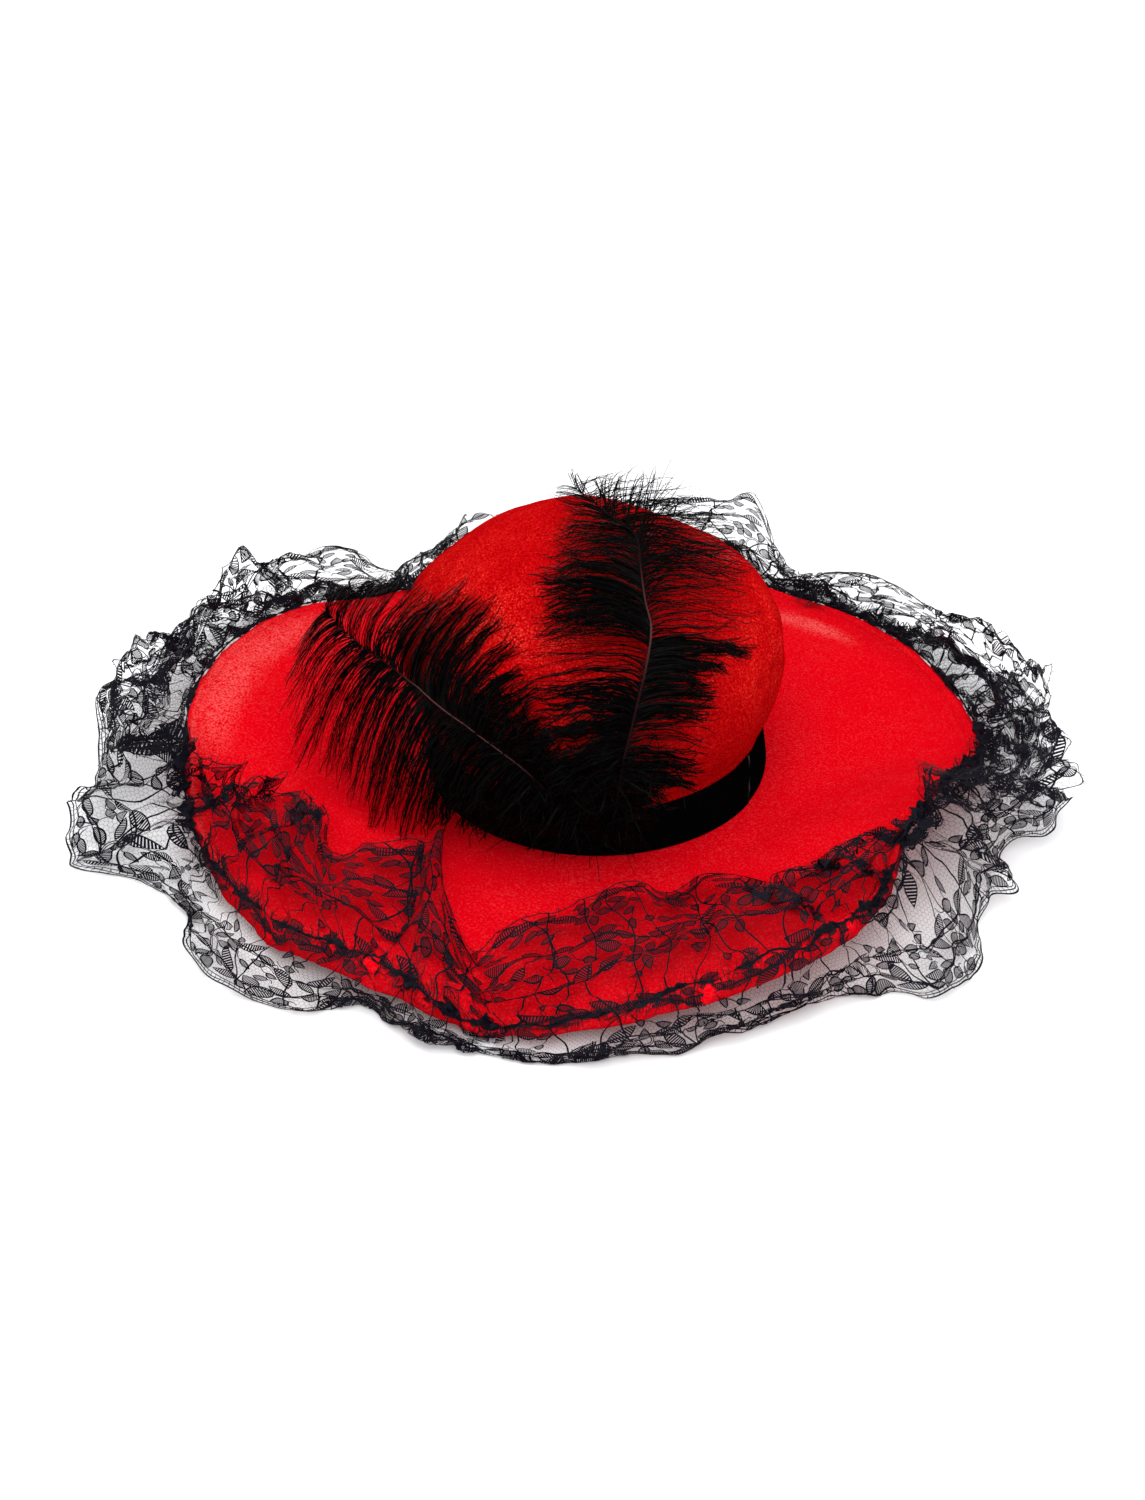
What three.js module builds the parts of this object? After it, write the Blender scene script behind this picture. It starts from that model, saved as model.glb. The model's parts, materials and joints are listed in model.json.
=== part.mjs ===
// Wide-brimmed velvet lolita hat: domed crown, ribbon band, waved brim,
// gathered lace ruffle sewn round the brim's edge, two ostrich feathers.
// Millimetres, +Z up. Front is -Y, the wearer's crown axis is Z.
// Everything is worked out in a hat frame (crown axis at x = y = 0, table at
// z = 0) and moved at the end so that the origin is the middle of the
// footprint, on the table.
import * as THREE from 'three';

// ---------- driving dimensions (mm) ----------
const BASE_Z = 25;          // brim's upper face round the head opening, above the table
const HEAD_R = 90.7;        // inside of the crown at its foot: a 57 cm head
const CROWN_WALL = 2.0;     // velvet over its backing
const BRIM_WALL = 2.4;      // two velvet faces over a stiff core
const BAND_H = 27;          // velvet ribbon
const BAND_WALL = 1.2;
const FLAT_R = 101;         // the brim is flat from the opening out to this radius
const HEM = 7;              // wired hem inside the brim's edge
const LACE_WALL = 1.1;
const GAP = 0.4;            // between neighbouring pieces
const LEAN_X = -6.8;        // crown's tip leans to the wearer's right by this much
const TABLE_CLEAR = 3;      // lowest mid-line of the lace above the table
const LACE_OVER_BRIM = 2.6; // lace mid-line above the brim where it lies on it
const FEATHER_CROWN_GAP = 5.5;

const AZ_CROWN = 48, AZ_BRIM = 64, AZ_LACE = 120;

// ---------- tables ----------
// crown's outside, from its foot up
const CROWN = [
  { h: 0, r: 92.7 }, { h: 28.5, r: 89.8 }, { h: 38, r: 94.6 }, { h: 50, r: 100.0 },
  { h: 62, r: 103.4 }, { h: 74, r: 104.5 }, { h: 85, r: 104.2 }, { h: 96, r: 100.3 },
  { h: 106, r: 92.5 }, { h: 117, r: 81.2 }, { h: 128, r: 67.0 }, { h: 137, r: 51.4 },
  { h: 143.5, r: 33.5 }, { h: 146.2, r: 15.0 }, { h: 147, r: 0 },
];
// soft dents in the crown: azimuth and height of the middle, half widths, depth
const CROWN_FOLDS = [
  { az: -22, h: 96, halfAz: 15, halfH: 34, depth: 1.8 },
  { az: 12, h: 82, halfAz: 17, halfH: 30, depth: 1.0 },
  { az: 150, h: 112, halfAz: 22, halfH: 18, depth: 1.5 },
  { az: 205, h: 100, halfAz: 18, halfH: 24, depth: 1.2 },
  { az: 262, h: 92, halfAz: 20, halfH: 26, depth: 1.0 },
  { az: 85, h: 100, halfAz: 24, halfH: 22, depth: 1.2 },
  { az: 48, h: 126, halfAz: 46, halfH: 26, depth: 3.4 },
];
// brim's edge: azimuth, radius, height above the table
const BRIM_EDGE = [
  { az: 0, r: 213, z: 29 }, { az: 18, r: 219, z: 17 }, { az: 40, r: 223, z: 15 },
  { az: 59, r: 225, z: 10 }, { az: 80, r: 224, z: 12 }, { az: 109, r: 223, z: 10 },
  { az: 124, r: 224, z: 14 }, { az: 140, r: 227, z: 33 }, { az: 158, r: 230, z: 42 },
  { az: 170, r: 230, z: 42 }, { az: 182, r: 228, z: 28 }, { az: 200, r: 227, z: 20 },
  { az: 219, r: 225, z: 23 }, { az: 234, r: 225, z: 34 }, { az: 243, r: 225, z: 29 },
  { az: 256, r: 226, z: 11 }, { az: 268, r: 225, z: 22 }, { az: 284, r: 223, z: 38 },
  { az: 299, r: 219, z: 44 }, { az: 314, r: 208, z: 40 }, { az: 330, r: 193, z: 55 },
  { az: 342, r: 197, z: 54 },
];
// the brim's edge turns down beyond the gathers: how far out, how far down
const BRIM_TURN = [
  { az: 20, out: 0.9, drop: 3.0 }, { az: 196, out: 0.9, drop: 3.0 }, { az: 212, out: 3.0, drop: 8.0 },
  { az: 226, out: 4.6, drop: 13.0 }, { az: 236, out: 4.8, drop: 14.0 }, { az: 244, out: 4.2, drop: 12.0 },
  { az: 251, out: 3.4, drop: 5.5 }, { az: 257, out: 3.0, drop: 3.0 }, { az: 266, out: 3.8, drop: 4.8 },
  { az: 278, out: 4.4, drop: 8.5 }, { az: 290, out: 4.6, drop: 10.5 }, { az: 302, out: 4.4, drop: 9.5 },
  { az: 318, out: 2.4, drop: 5.0 }, { az: 334, out: 0.9, drop: 3.0 },
];
// shallow waves in the brim: azimuth, share of the way out, half widths, lift
const BRIM_FOLDS = [
  { az: 236, u: 0.30, halfAz: 16, halfU: 0.30, lift: -2.2 },
  { az: 205, u: 0.55, halfAz: 20, halfU: 0.35, lift: 2.0 },
  { az: 318, u: 0.45, halfAz: 18, halfU: 0.35, lift: 2.5 },
  { az: 350, u: 0.40, halfAz: 20, halfU: 0.35, lift: -2.5 },
  { az: 150, u: 0.40, halfAz: 24, halfU: 0.35, lift: -2.0 },
];
// lace inside the gathering line: where it is gathered, where its free edge
// lies (azimuth, radius, height) and how high it arches between them
const LACE_INNER = [
  { at: 0, tipAz: 1, tipR: 252, tipZ: 44, rise: 30 },
  { at: 14, tipAz: 13, tipR: 266, tipZ: 42, rise: 26 },
  { at: 27, tipAz: 25, tipR: 251, tipZ: 38, rise: 22 },
  { at: 38, tipAz: 36, tipR: 236, tipZ: 39, rise: 20 },
  { at: 48, tipAz: 47, tipR: 231, tipZ: 36, rise: 20 },
  { at: 59, tipAz: 59, tipR: 228, tipZ: 22, rise: 8 },
  { at: 68, tipAz: 68, tipR: 256, tipZ: 52, rise: 26 },
  { at: 77, tipAz: 76, tipR: 251, tipZ: 52, rise: 30 },
  { at: 90, tipAz: 90, tipR: 244, tipZ: 48, rise: 28 },
  { at: 104, tipAz: 104, tipR: 233, tipZ: 49, rise: 26 },
  { at: 114, tipAz: 113, tipR: 229, tipZ: 42, rise: 22 },
  { at: 122, tipAz: 122, tipR: 229, tipZ: 27, rise: 10 },
  { at: 133, tipAz: 133, tipR: 243, tipZ: 54, rise: 24 },
  { at: 143, tipAz: 142, tipR: 265, tipZ: 49, rise: 24 },
  { at: 156, tipAz: 157, tipR: 262, tipZ: 48, rise: 22 },
  { at: 170, tipAz: 170, tipR: 277, tipZ: 49, rise: 22 },
  { at: 181, tipAz: 182, tipR: 278, tipZ: 44, rise: 20 },
  { at: 188, tipAz: 189, tipR: 226, tipZ: 46, rise: 26 },
  { at: 196, tipAz: 190, tipR: 196, tipZ: 34, rise: 22 },
  { at: 207, tipAz: 195, tipR: 163, tipZ: 34, rise: 22 },
  { at: 220, tipAz: 206, tipR: 163, tipZ: 33, rise: 20 },
  { at: 228, tipAz: 213, tipR: 168, tipZ: 34, rise: 16 },
  { at: 237, tipAz: 217, tipR: 150, tipZ: 31, rise: 16 },
  { at: 245, tipAz: 223, tipR: 120, tipZ: 31, rise: 20 },
  { at: 251, tipAz: 240, tipR: 158, tipZ: 33, rise: 14 },
  { at: 256, tipAz: 250, tipR: 190, tipZ: 31, rise: 8 },
  { at: 263, tipAz: 256, tipR: 156, tipZ: 30, rise: 14 },
  { at: 275, tipAz: 271, tipR: 131, tipZ: 30, rise: 18 },
  { at: 290, tipAz: 292, tipR: 126, tipZ: 30, rise: 18 },
  { at: 301, tipAz: 304, tipR: 149, tipZ: 33, rise: 14 },
  { at: 311, tipAz: 314, tipR: 162, tipZ: 36, rise: 12 },
  { at: 320, tipAz: 322, tipR: 184, tipZ: 46, rise: 10 },
  { at: 328, tipAz: 329, tipR: 205, tipZ: 64, rise: 14 },
  { at: 340, tipAz: 340, tipR: 243, tipZ: 48, rise: 22 },
  { at: 350, tipAz: 351, tipR: 264, tipZ: 40, rise: 22 },
];
// lace outside the gathering line: its free edge, and the turn it takes
const LACE_OUTER = [
  { at: 0, tipR: 256, tipZ: 14, turnR: 240, turnZ: 18 },
  { at: 16, tipR: 264, tipZ: 12, turnR: 246, turnZ: 12 },
  { at: 34, tipR: 246, tipZ: 5, turnR: 240, turnZ: 12 },
  { at: 48, tipR: 247, tipZ: 3, turnR: 242, turnZ: 6 },
  { at: 60, tipR: 240, tipZ: 3, turnR: 238, turnZ: 4 },
  { at: 75, tipR: 282, tipZ: 3, turnR: 256, turnZ: 8 },
  { at: 92, tipR: 284, tipZ: 3, turnR: 252, turnZ: 8 },
  { at: 108, tipR: 262, tipZ: 3, turnR: 244, turnZ: 6 },
  { at: 120, tipR: 242, tipZ: 3, turnR: 240, turnZ: 6 },
  { at: 133, tipR: 268, tipZ: 6, turnR: 252, turnZ: 24 },
  { at: 146, tipR: 286, tipZ: 12, turnR: 258, turnZ: 32 },
  { at: 160, tipR: 284, tipZ: 18, turnR: 260, turnZ: 38 },
  { at: 174, tipR: 288, tipZ: 18, turnR: 262, turnZ: 34 },
  { at: 186, tipR: 290, tipZ: 10, turnR: 264, turnZ: 20 },
  { at: 194, tipR: 297, tipZ: 5, turnR: 264, turnZ: 14 },
  { at: 200, tipR: 262, tipZ: 4, turnR: 248, turnZ: 12 },
  { at: 207, tipR: 247, tipZ: 3, turnR: 244, turnZ: 10 },
  { at: 213, tipR: 259, tipZ: 3, turnR: 246, turnZ: 12 },
  { at: 220, tipR: 266, tipZ: 3, turnR: 248, turnZ: 14 },
  { at: 227, tipR: 260, tipZ: 3, turnR: 247, turnZ: 16 },
  { at: 233, tipR: 249, tipZ: 3, turnR: 244, turnZ: 18 },
  { at: 238, tipR: 230, tipZ: 3, turnR: 240, turnZ: 16 },
  { at: 246, tipR: 235, tipZ: 3, turnR: 241, turnZ: 15 },
  { at: 254, tipR: 239, tipZ: 3, turnR: 242, turnZ: 8 },
  { at: 264, tipR: 236, tipZ: 3, turnR: 242, turnZ: 10 },
  { at: 274, tipR: 231, tipZ: 3, turnR: 241, turnZ: 16 },
  { at: 284, tipR: 228, tipZ: 3, turnR: 240, turnZ: 22 },
  { at: 296, tipR: 220, tipZ: 3, turnR: 238, turnZ: 26 },
  { at: 305, tipR: 220, tipZ: 4, turnR: 236, turnZ: 26 },
  { at: 314, tipR: 258, tipZ: 3, turnR: 236, turnZ: 16 },
  { at: 322, tipR: 259, tipZ: 3, turnR: 234, turnZ: 24 },
  { at: 331, tipR: 236, tipZ: 8, turnR: 224, turnZ: 36 },
  { at: 342, tipR: 240, tipZ: 12, turnR: 230, turnZ: 34 },
  { at: 352, tipR: 260, tipZ: 14, turnR: 238, turnZ: 26 },
];
// feathers, a row for each section along the quill: the quill's point and the
// tips of the barbs on its two sides, and where it isn't the feather's own,
// the row's distance from the crown
const FEATHER_LEFT = [
  { q: [-8, -93, 48], low: [-15, -93, 43], up: [-3, -93, 54], gap: 3.75 },
  { q: [-11, -100, 60], low: [-27, -99, 46], up: [-5, -103, 74] },
  { q: [-21, -104, 69], low: [-42, -95, 40], up: [-12, -108, 96] },
  { q: [-40, -106, 92], low: [-69, -95, 38], up: [-25, -104, 118] },
  { q: [-64, -92, 104], low: [-91, -86, 36], up: [-35, -88, 140], gap: 7.2 },
  { q: [-82, -74, 109], low: [-110, -76, 33], up: [-51, -52, 160], gap: 7.2 },
  { q: [-99, -56, 112], low: [-129, -63, 32], up: [-67, -36, 160] },
  { q: [-112, -42, 114], low: [-148, -50, 35], up: [-84, -30, 158] },
  { q: [-125, -29, 116], low: [-164, -38, 48], up: [-103, -14, 156] },
  { q: [-138, -17, 121], low: [-171, -25, 75], up: [-116, -7, 152] },
  { q: [-146, -9, 127], low: [-161, -12, 110], up: [-134, -2, 143] },
];
const FEATHER_RIGHT = [
  { q: [6, -93, 48], low: [12, -93, 44], up: [1, -93, 54], gap: 3.75 },
  { q: [8, -105, 66], low: [18, -104, 60], up: [0, -108, 73], gap: 9 },
  { q: [12, -117, 100], low: [55, -107, 92], up: [-20, -118, 88] },
  { q: [18, -112, 128], low: [61, -104, 124], up: [-33, -118, 133] },
  { q: [24, -96, 146], low: [65, -94, 142], up: [-35, -109, 153] },
  { q: [27, -79, 160], low: [79, -76, 157], up: [-31, -89, 172] },
  { q: [24, -65, 169], low: [81, -54, 163], up: [-34, -66, 181] },
  { q: [22, -49, 178], low: [79, -39, 171], up: [-31, -48, 185] },
  { q: [20, -27, 184], low: [77, -17, 167], up: [-22, -24, 185] },
  { q: [10, -17, 188], low: [68, 9, 176], up: [-20, -2, 187] },
  { q: [-1, -6, 191], low: [50, 27, 180], up: [-22, 6, 189] },
  { q: [-12, 5, 195], low: [6, 27, 192], up: [-24, 10, 193] },
];

// ---------- helpers ----------
const rad = (a) => (a * Math.PI) / 180;
const wrap = (a) => ((a % 360) + 540) % 360 - 180;
const bell = (x) => (Math.abs(x) < 1 ? (1 - x * x) ** 2 : 0);
const clamp = (x, a, b) => Math.min(b, Math.max(a, x));

// smooth curve through a table without overshoot; period 360 where asked
function curve(rows, key, val, periodic) {
  const x = rows.map((r) => r[key]);
  const y = rows.map(typeof val === 'function' ? val : (r) => r[val]);
  if (periodic) {
    x.push(x[0] + 360); y.push(y[0]);
  }
  const n = x.length;
  const d = [];
  for (let i = 0; i < n - 1; i++) d.push((y[i + 1] - y[i]) / (x[i + 1] - x[i]));
  const blend = (a, b) => (a * b <= 0 ? 0 : (2 * a * b) / (a + b));
  const m = x.map((_, i) => {
    if (i === 0 || i === n - 1) return periodic ? blend(d[n - 2], d[0]) : d[i === 0 ? 0 : n - 2];
    return blend(d[i - 1], d[i]);
  });
  return (t) => {
    if (periodic) t = x[0] + ((((t - x[0]) % 360) + 360) % 360);
    t = clamp(t, x[0], x[n - 1]);
    let i = 0;
    while (i < n - 2 && t > x[i + 1]) i++;
    const h = x[i + 1] - x[i];
    const u = (t - x[i]) / h;
    return (1 + 2 * u) * (1 - u) ** 2 * y[i] + u * (1 - u) ** 2 * h * m[i]
      + u * u * (3 - 2 * u) * y[i + 1] + u * u * (u - 1) * h * m[i + 1];
  };
}

function geometry(points, faces) {
  const g = new THREE.BufferGeometry();
  g.setAttribute('position', new THREE.Float32BufferAttribute(points.flat(), 3));
  g.setIndex(faces.flat());
  g.computeVertexNormals();
  return g;
}

// ---------- crown ----------
const crownR = curve(CROWN, 'h', 'r', false);
const crownLean = (h) => LEAN_X * clamp((h - 34) / 113, 0, 1);
function crownDent(azDeg, h) {
  let d = 0;
  for (const f of CROWN_FOLDS) {
    d += f.depth * bell(wrap(azDeg - f.az) / f.halfAz) * bell((h - f.h) / f.halfH);
  }
  return d;
}
function crownPoint(azDeg, h, inset) {
  // inset is measured along the profile's normal
  const e = 0.5;
  const lo = clamp(h - e, 0, 147), hi = clamp(h + e, 0, 147);
  let nr = hi - lo, nh = -(crownR(hi) - crownR(lo));
  const l = Math.hypot(nr, nh);
  nr /= l; nh /= l;
  if (h <= 0) { nr = 1; nh = 0; }
  const r = Math.max(0, crownR(h) - (inset + crownDent(azDeg, h)) * nr);
  const z = BASE_Z + 0.3 + h - (inset + crownDent(azDeg, h)) * nh;
  return [crownLean(h) + r * Math.cos(rad(azDeg)), r * Math.sin(rad(azDeg)), z];
}
function crownGeometry() {
  const N = AZ_CROWN;
  const hs = CROWN.slice(0, -1).map((row) => row.h);
  const P = [], F = [];
  const shell = (inset, tip) => {
    const start = P.length;
    for (const h of hs) for (let i = 0; i < N; i++) P.push(crownPoint((360 * i) / N, h, inset));
    P.push([crownLean(147), 0, BASE_Z + 0.3 + 147 - tip]);
    return start;
  };
  const out = shell(0, 0);
  const inn = shell(CROWN_WALL, CROWN_WALL);
  const M = hs.length;
  for (let i = 0; i < N; i++) {
    const k = (i + 1) % N;
    for (let j = 0; j < M - 1; j++) {
      const a = out + j * N + i, b = out + j * N + k, c = a + N, d = b + N;
      F.push([a, b, d], [a, d, c]);
      const e = inn + j * N + i, f = inn + j * N + k, g = e + N, h = f + N;
      F.push([e, h, f], [e, g, h]);
    }
    F.push([out + (M - 1) * N + i, out + (M - 1) * N + k, out + M * N]);
    F.push([inn + (M - 1) * N + k, inn + (M - 1) * N + i, inn + M * N]);
    F.push([out + k, out + i, inn + i], [out + k, inn + i, inn + k]);
  }
  return geometry(P, F);
}
// distance from the crown's outside, positive outside it
function crownDistance(p) {
  const h = p[2] - BASE_Z - 0.3;
  const rho = Math.hypot(p[0] - crownLean(h), p[1]);
  let best = 1e9;
  for (let i = 0; i < CROWN.length - 1; i++) {
    const a = CROWN[i], b = CROWN[i + 1];
    const dr = b.r - a.r, dh = b.h - a.h;
    const t = clamp(((rho - a.r) * dr + (h - a.h) * dh) / (dr * dr + dh * dh), 0, 1);
    best = Math.min(best, Math.hypot(rho - a.r - t * dr, h - a.h - t * dh));
  }
  const inside = h > 0 && h < 147 && rho < crownR(h);
  return inside ? -best : best;
}
function clearOfCrown(p, gap) {
  let q = p.slice();
  for (let k = 0; k < 40; k++) {
    const d = crownDistance(q);
    if (d >= gap) break;
    const c = [crownLean(80), 0, Math.min(q[2], BASE_Z + 70)];
    const v = [q[0] - c[0], q[1] - c[1], q[2] - c[2]];
    const l = Math.hypot(...v);
    q = q.map((x, i) => x + (v[i] / l) * Math.max(0.25, (gap - d) * 0.8));
  }
  return q;
}

// ---------- band ----------
function bandGeometry() {
  const N = AZ_CROWN;
  const P = [], F = [];
  const z0 = BASE_Z + GAP + 0.1;
  const rows = [
    { h: 0, off: GAP }, { h: BAND_H, off: GAP },
    { h: BAND_H, off: GAP + BAND_WALL }, { h: 0, off: GAP + BAND_WALL },
  ];
  for (const row of rows) {
    for (let i = 0; i < N; i++) {
      const a = rad((360 * i) / N);
      const r = crownR(row.h) + row.off;
      P.push([r * Math.cos(a), r * Math.sin(a), z0 + row.h]);
    }
  }
  for (let i = 0; i < N; i++) {
    const k = (i + 1) % N;
    for (let j = 0; j < 4; j++) {
      const m = (j + 1) % 4;
      F.push([j * N + i, m * N + k, j * N + k], [j * N + i, m * N + i, m * N + k]);
    }
  }
  return geometry(P, F);
}

// ---------- brim ----------
const edgeR = curve(BRIM_EDGE, 'az', 'r', true);
const edgeZ = curve(BRIM_EDGE, 'az', 'z', true);
const turnOut = curve(BRIM_TURN, 'az', 'out', true);
const turnDrop = curve(BRIM_TURN, 'az', 'drop', true);
function brimTop(r, azDeg) {
  const re = edgeR(azDeg);
  const u = clamp((r - FLAT_R) / (re - FLAT_R), 0, 1.05);
  let z = BASE_Z + (edgeZ(azDeg) - BASE_Z) * u ** 1.8;
  for (const f of BRIM_FOLDS) {
    z += f.lift * bell(wrap(azDeg - f.az) / f.halfAz) * bell((u - f.u) / f.halfU);
  }
  return z;
}
function brimGeometry() {
  const N = AZ_BRIM;
  const P = [], F = [];
  const ring = (azDeg) => {
    const re = edgeR(azDeg);
    const mid = (s) => FLAT_R + (re - FLAT_R) * s;
    return [HEAD_R, FLAT_R, mid(0.3), mid(0.58), mid(0.82), re - HEM * 0.4, re];
  };
  const M = 8;
  for (const side of [0, 1]) {
    for (let j = 0; j < M; j++) {
      for (let i = 0; i < N; i++) {
        const az = (360 * i) / N;
        if (j < M - 1) {
          const r = ring(az)[j];
          P.push(polar(az, r, brimTop(r, az) - side * BRIM_WALL));
        } else {
          // foot of the turned-down edge, its wall leaning with the turn
          const re = edgeR(az);
          P.push(polar(az, re + turnOut(az) - side * 1.8, brimTop(re, az) - turnDrop(az) - side * 1.2));
        }
      }
    }
  }
  const low = M * N;
  for (let i = 0; i < N; i++) {
    const k = (i + 1) % N;
    for (let j = 0; j < M - 1; j++) {
      const a = j * N + i, b = j * N + k, c = a + N, d = b + N;
      F.push([a, c, d], [a, d, b]);
      F.push([low + a, low + d, low + c], [low + a, low + b, low + d]);
    }
    const e = (M - 1) * N;
    F.push([e + i, low + e + i, low + e + k], [e + i, low + e + k, e + k]);
    F.push([i, low + k, low + i], [i, k, low + k]);
  }
  return geometry(P, F);
}

// ---------- lace ruffle ----------
const inTipAz = curve(LACE_INNER, 'at', (r) => r.tipAz - r.at, true);
const inTipR = curve(LACE_INNER, 'at', 'tipR', true);
const inTipZ = curve(LACE_INNER, 'at', 'tipZ', true);
const inRise = curve(LACE_INNER, 'at', 'rise', true);
const outTipR = curve(LACE_OUTER, 'at', 'tipR', true);
const outTipZ = curve(LACE_OUTER, 'at', 'tipZ', true);
const outTurnR = curve(LACE_OUTER, 'at', 'turnR', true);
const outTurnZ = curve(LACE_OUTER, 'at', 'turnZ', true);
const RIPPLES = 24;         // folds round the free edges
const RIPPLE = 2.2;         // their half height
function gatherPoint(az) {
  return { az, r: edgeR(az) + 2.0, z: edgeZ(az) + 0.9 };
}
function polar(az, r, z) {
  return [r * Math.cos(rad(az)), r * Math.sin(rad(az)), z];
}
// t runs 0 at the inner free edge, 1 at the gathering line, 2 at the outer edge
function lacePoint(at, t) {
  const g = gatherPoint(at);
  const G = polar(g.az, g.r, g.z);
  const wave = Math.sin(rad(at) * RIPPLES);
  if (t <= 1) {
    const s = 1 - t;
    const taz = at + inTipAz(at);
    const T = polar(taz, inTipR(at), inTipZ(at));
    const C = [0, 1, 2].map((i) => G[i] + 0.35 * (T[i] - G[i]));
    C[2] = g.z + inRise(at);
    const p = [0, 1, 2].map((i) => (1 - s) ** 2 * G[i] + 2 * s * (1 - s) * C[i] + s * s * T[i]);
    p[2] += RIPPLE * wave * s * s;
    const r = Math.hypot(p[0], p[1]);
    const az = (Math.atan2(p[1], p[0]) * 180) / Math.PI;
    const re = edgeR(az);
    if (r < re + 2) {
      const ease = clamp((re + 2 - r) / 8, 0, 1);
      p[2] = Math.max(p[2], brimTop(Math.min(r, re), az) + 1.4 + (LACE_OVER_BRIM - 1.4) * ease);
    }
    return p;
  }
  const s = t - 1;
  const T = polar(at, outTipR(at), outTipZ(at));
  const C = polar(at, outTurnR(at), outTurnZ(at));
  const p = [0, 1, 2].map((i) => (1 - s) ** 2 * G[i] + 2 * s * (1 - s) * C[i] + s * s * T[i]);
  p[2] = Math.max(TABLE_CLEAR, p[2] + RIPPLE * wave * s * s);
  return p;
}
const LACE_T = [0, 0.25, 0.5, 0.75, 1, 1.25, 1.5, 1.75, 2];
function laceGeometry() {
  const N = AZ_LACE, M = LACE_T.length;
  const grid = [];
  for (let i = 0; i < N; i++) grid.push(LACE_T.map((t) => new THREE.Vector3(...lacePoint((360 * i) / N, t))));
  const P = [], F = [];
  const normals = grid.map((row, i) => row.map((p, j) => {
    const a = grid[(i + 1) % N][j].clone().sub(grid[(i + N - 1) % N][j]);
    const b = row[Math.min(M - 1, j + 1)].clone().sub(row[Math.max(0, j - 1)]);
    return a.cross(b).normalize();
  }));
  for (const side of [1, -1]) {
    for (let i = 0; i < N; i++) {
      for (let j = 0; j < M; j++) {
        const p = grid[i][j].clone().addScaledVector(normals[i][j], (side * LACE_WALL) / 2);
        P.push([p.x, p.y, p.z]);
      }
    }
  }
  const low = N * M;
  for (let i = 0; i < N; i++) {
    const k = (i + 1) % N;
    for (let j = 0; j < M - 1; j++) {
      const a = i * M + j, b = k * M + j, c = b + 1, d = a + 1;
      F.push([a, b, c], [a, c, d]);
      F.push([low + a, low + c, low + b], [low + a, low + d, low + c]);
    }
    const e = M - 1;
    F.push([i * M, low + i * M, low + k * M], [i * M, low + k * M, k * M]);
    F.push([i * M + e, low + k * M + e, low + i * M + e], [i * M + e, k * M + e, low + k * M + e]);
  }
  return geometry(P, F);
}

// ---------- feathers: the outer form of each plume ----------
const FEATHER_WALL = 4.0;    // at the quill, thinning to the barbs' tips
function featherGeometry(rows, gap) {
  const M = 5;
  const share = [0, 0.5, 1, 1.5, 2];
  const grid = rows.map((row) => share.map((t) => {
    const a = t <= 1 ? row.low : row.q;
    const b = t <= 1 ? row.q : row.up;
    const s = t <= 1 ? t : t - 1;
    const p = [0, 1, 2].map((i) => a[i] + s * (b[i] - a[i]));
    return new THREE.Vector3(...clearOfCrown(p, row.gap ?? gap));
  }));
  const N = grid.length;
  const P = [], F = [];
  for (const side of [1, -1]) {
    for (let i = 0; i < N; i++) {
      for (let j = 0; j < M; j++) {
        const u = grid[Math.min(N - 1, i + 1)][j].clone().sub(grid[Math.max(0, i - 1)][j]);
        const v = grid[i][Math.min(M - 1, j + 1)].clone().sub(grid[i][Math.max(0, j - 1)]);
        const n = u.cross(v).normalize();
        const w = (FEATHER_WALL / 2) * (1 - 0.55 * Math.abs(share[j] - 1));
        const p = grid[i][j].clone().addScaledVector(n, side * w);
        P.push([p.x, p.y, p.z]);
      }
    }
  }
  const low = N * M;
  const rim = [];
  for (let i = 0; i < N - 1; i++) {
    for (let j = 0; j < M - 1; j++) {
      const a = i * M + j, b = a + M, c = b + 1, d = a + 1;
      F.push([a, b, c], [a, c, d]);
      F.push([low + a, low + c, low + b], [low + a, low + d, low + c]);
    }
  }
  for (let j = 0; j < M - 1; j++) rim.push(j);
  for (let i = 0; i < N - 1; i++) rim.push(i * M + M - 1);
  for (let j = M - 1; j > 0; j--) rim.push((N - 1) * M + j);
  for (let i = N - 1; i > 0; i--) rim.push(i * M);
  for (let k = 0; k < rim.length; k++) {
    const a = rim[k], b = rim[(k + 1) % rim.length];
    F.push([a, b, low + b], [a, low + b, low + a]);
  }
  return geometry(P, F);
}

// a closed solid has its faces pointing out when its volume is positive
function outward(g) {
  const p = g.attributes.position, ix = g.index.array;
  let v = 0;
  const A = new THREE.Vector3(), B = new THREE.Vector3(), C = new THREE.Vector3();
  for (let i = 0; i < ix.length; i += 3) {
    A.fromBufferAttribute(p, ix[i]);
    B.fromBufferAttribute(p, ix[i + 1]);
    C.fromBufferAttribute(p, ix[i + 2]);
    v += A.dot(B.cross(C)) / 6;
  }
  if (v < 0) {
    for (let i = 0; i < ix.length; i += 3) [ix[i + 1], ix[i + 2]] = [ix[i + 2], ix[i + 1]];
    g.computeVertexNormals();
  }
  return g;
}

// ---------- assembly ----------
const velvetRed = new THREE.MeshStandardMaterial({ color: 0xd9120f, roughness: 0.85, metalness: 0 });
const satinRed = new THREE.MeshStandardMaterial({ color: 0xcf0612, roughness: 0.8, metalness: 0 });
const velvetBlack = new THREE.MeshStandardMaterial({ color: 0x050506, roughness: 0.9, metalness: 0 });
const laceBlack = new THREE.MeshStandardMaterial({ color: 0x15151c, roughness: 0.7, metalness: 0 });
const featherBlack = new THREE.MeshStandardMaterial({ color: 0x0a0809, roughness: 0.6, metalness: 0 });

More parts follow.
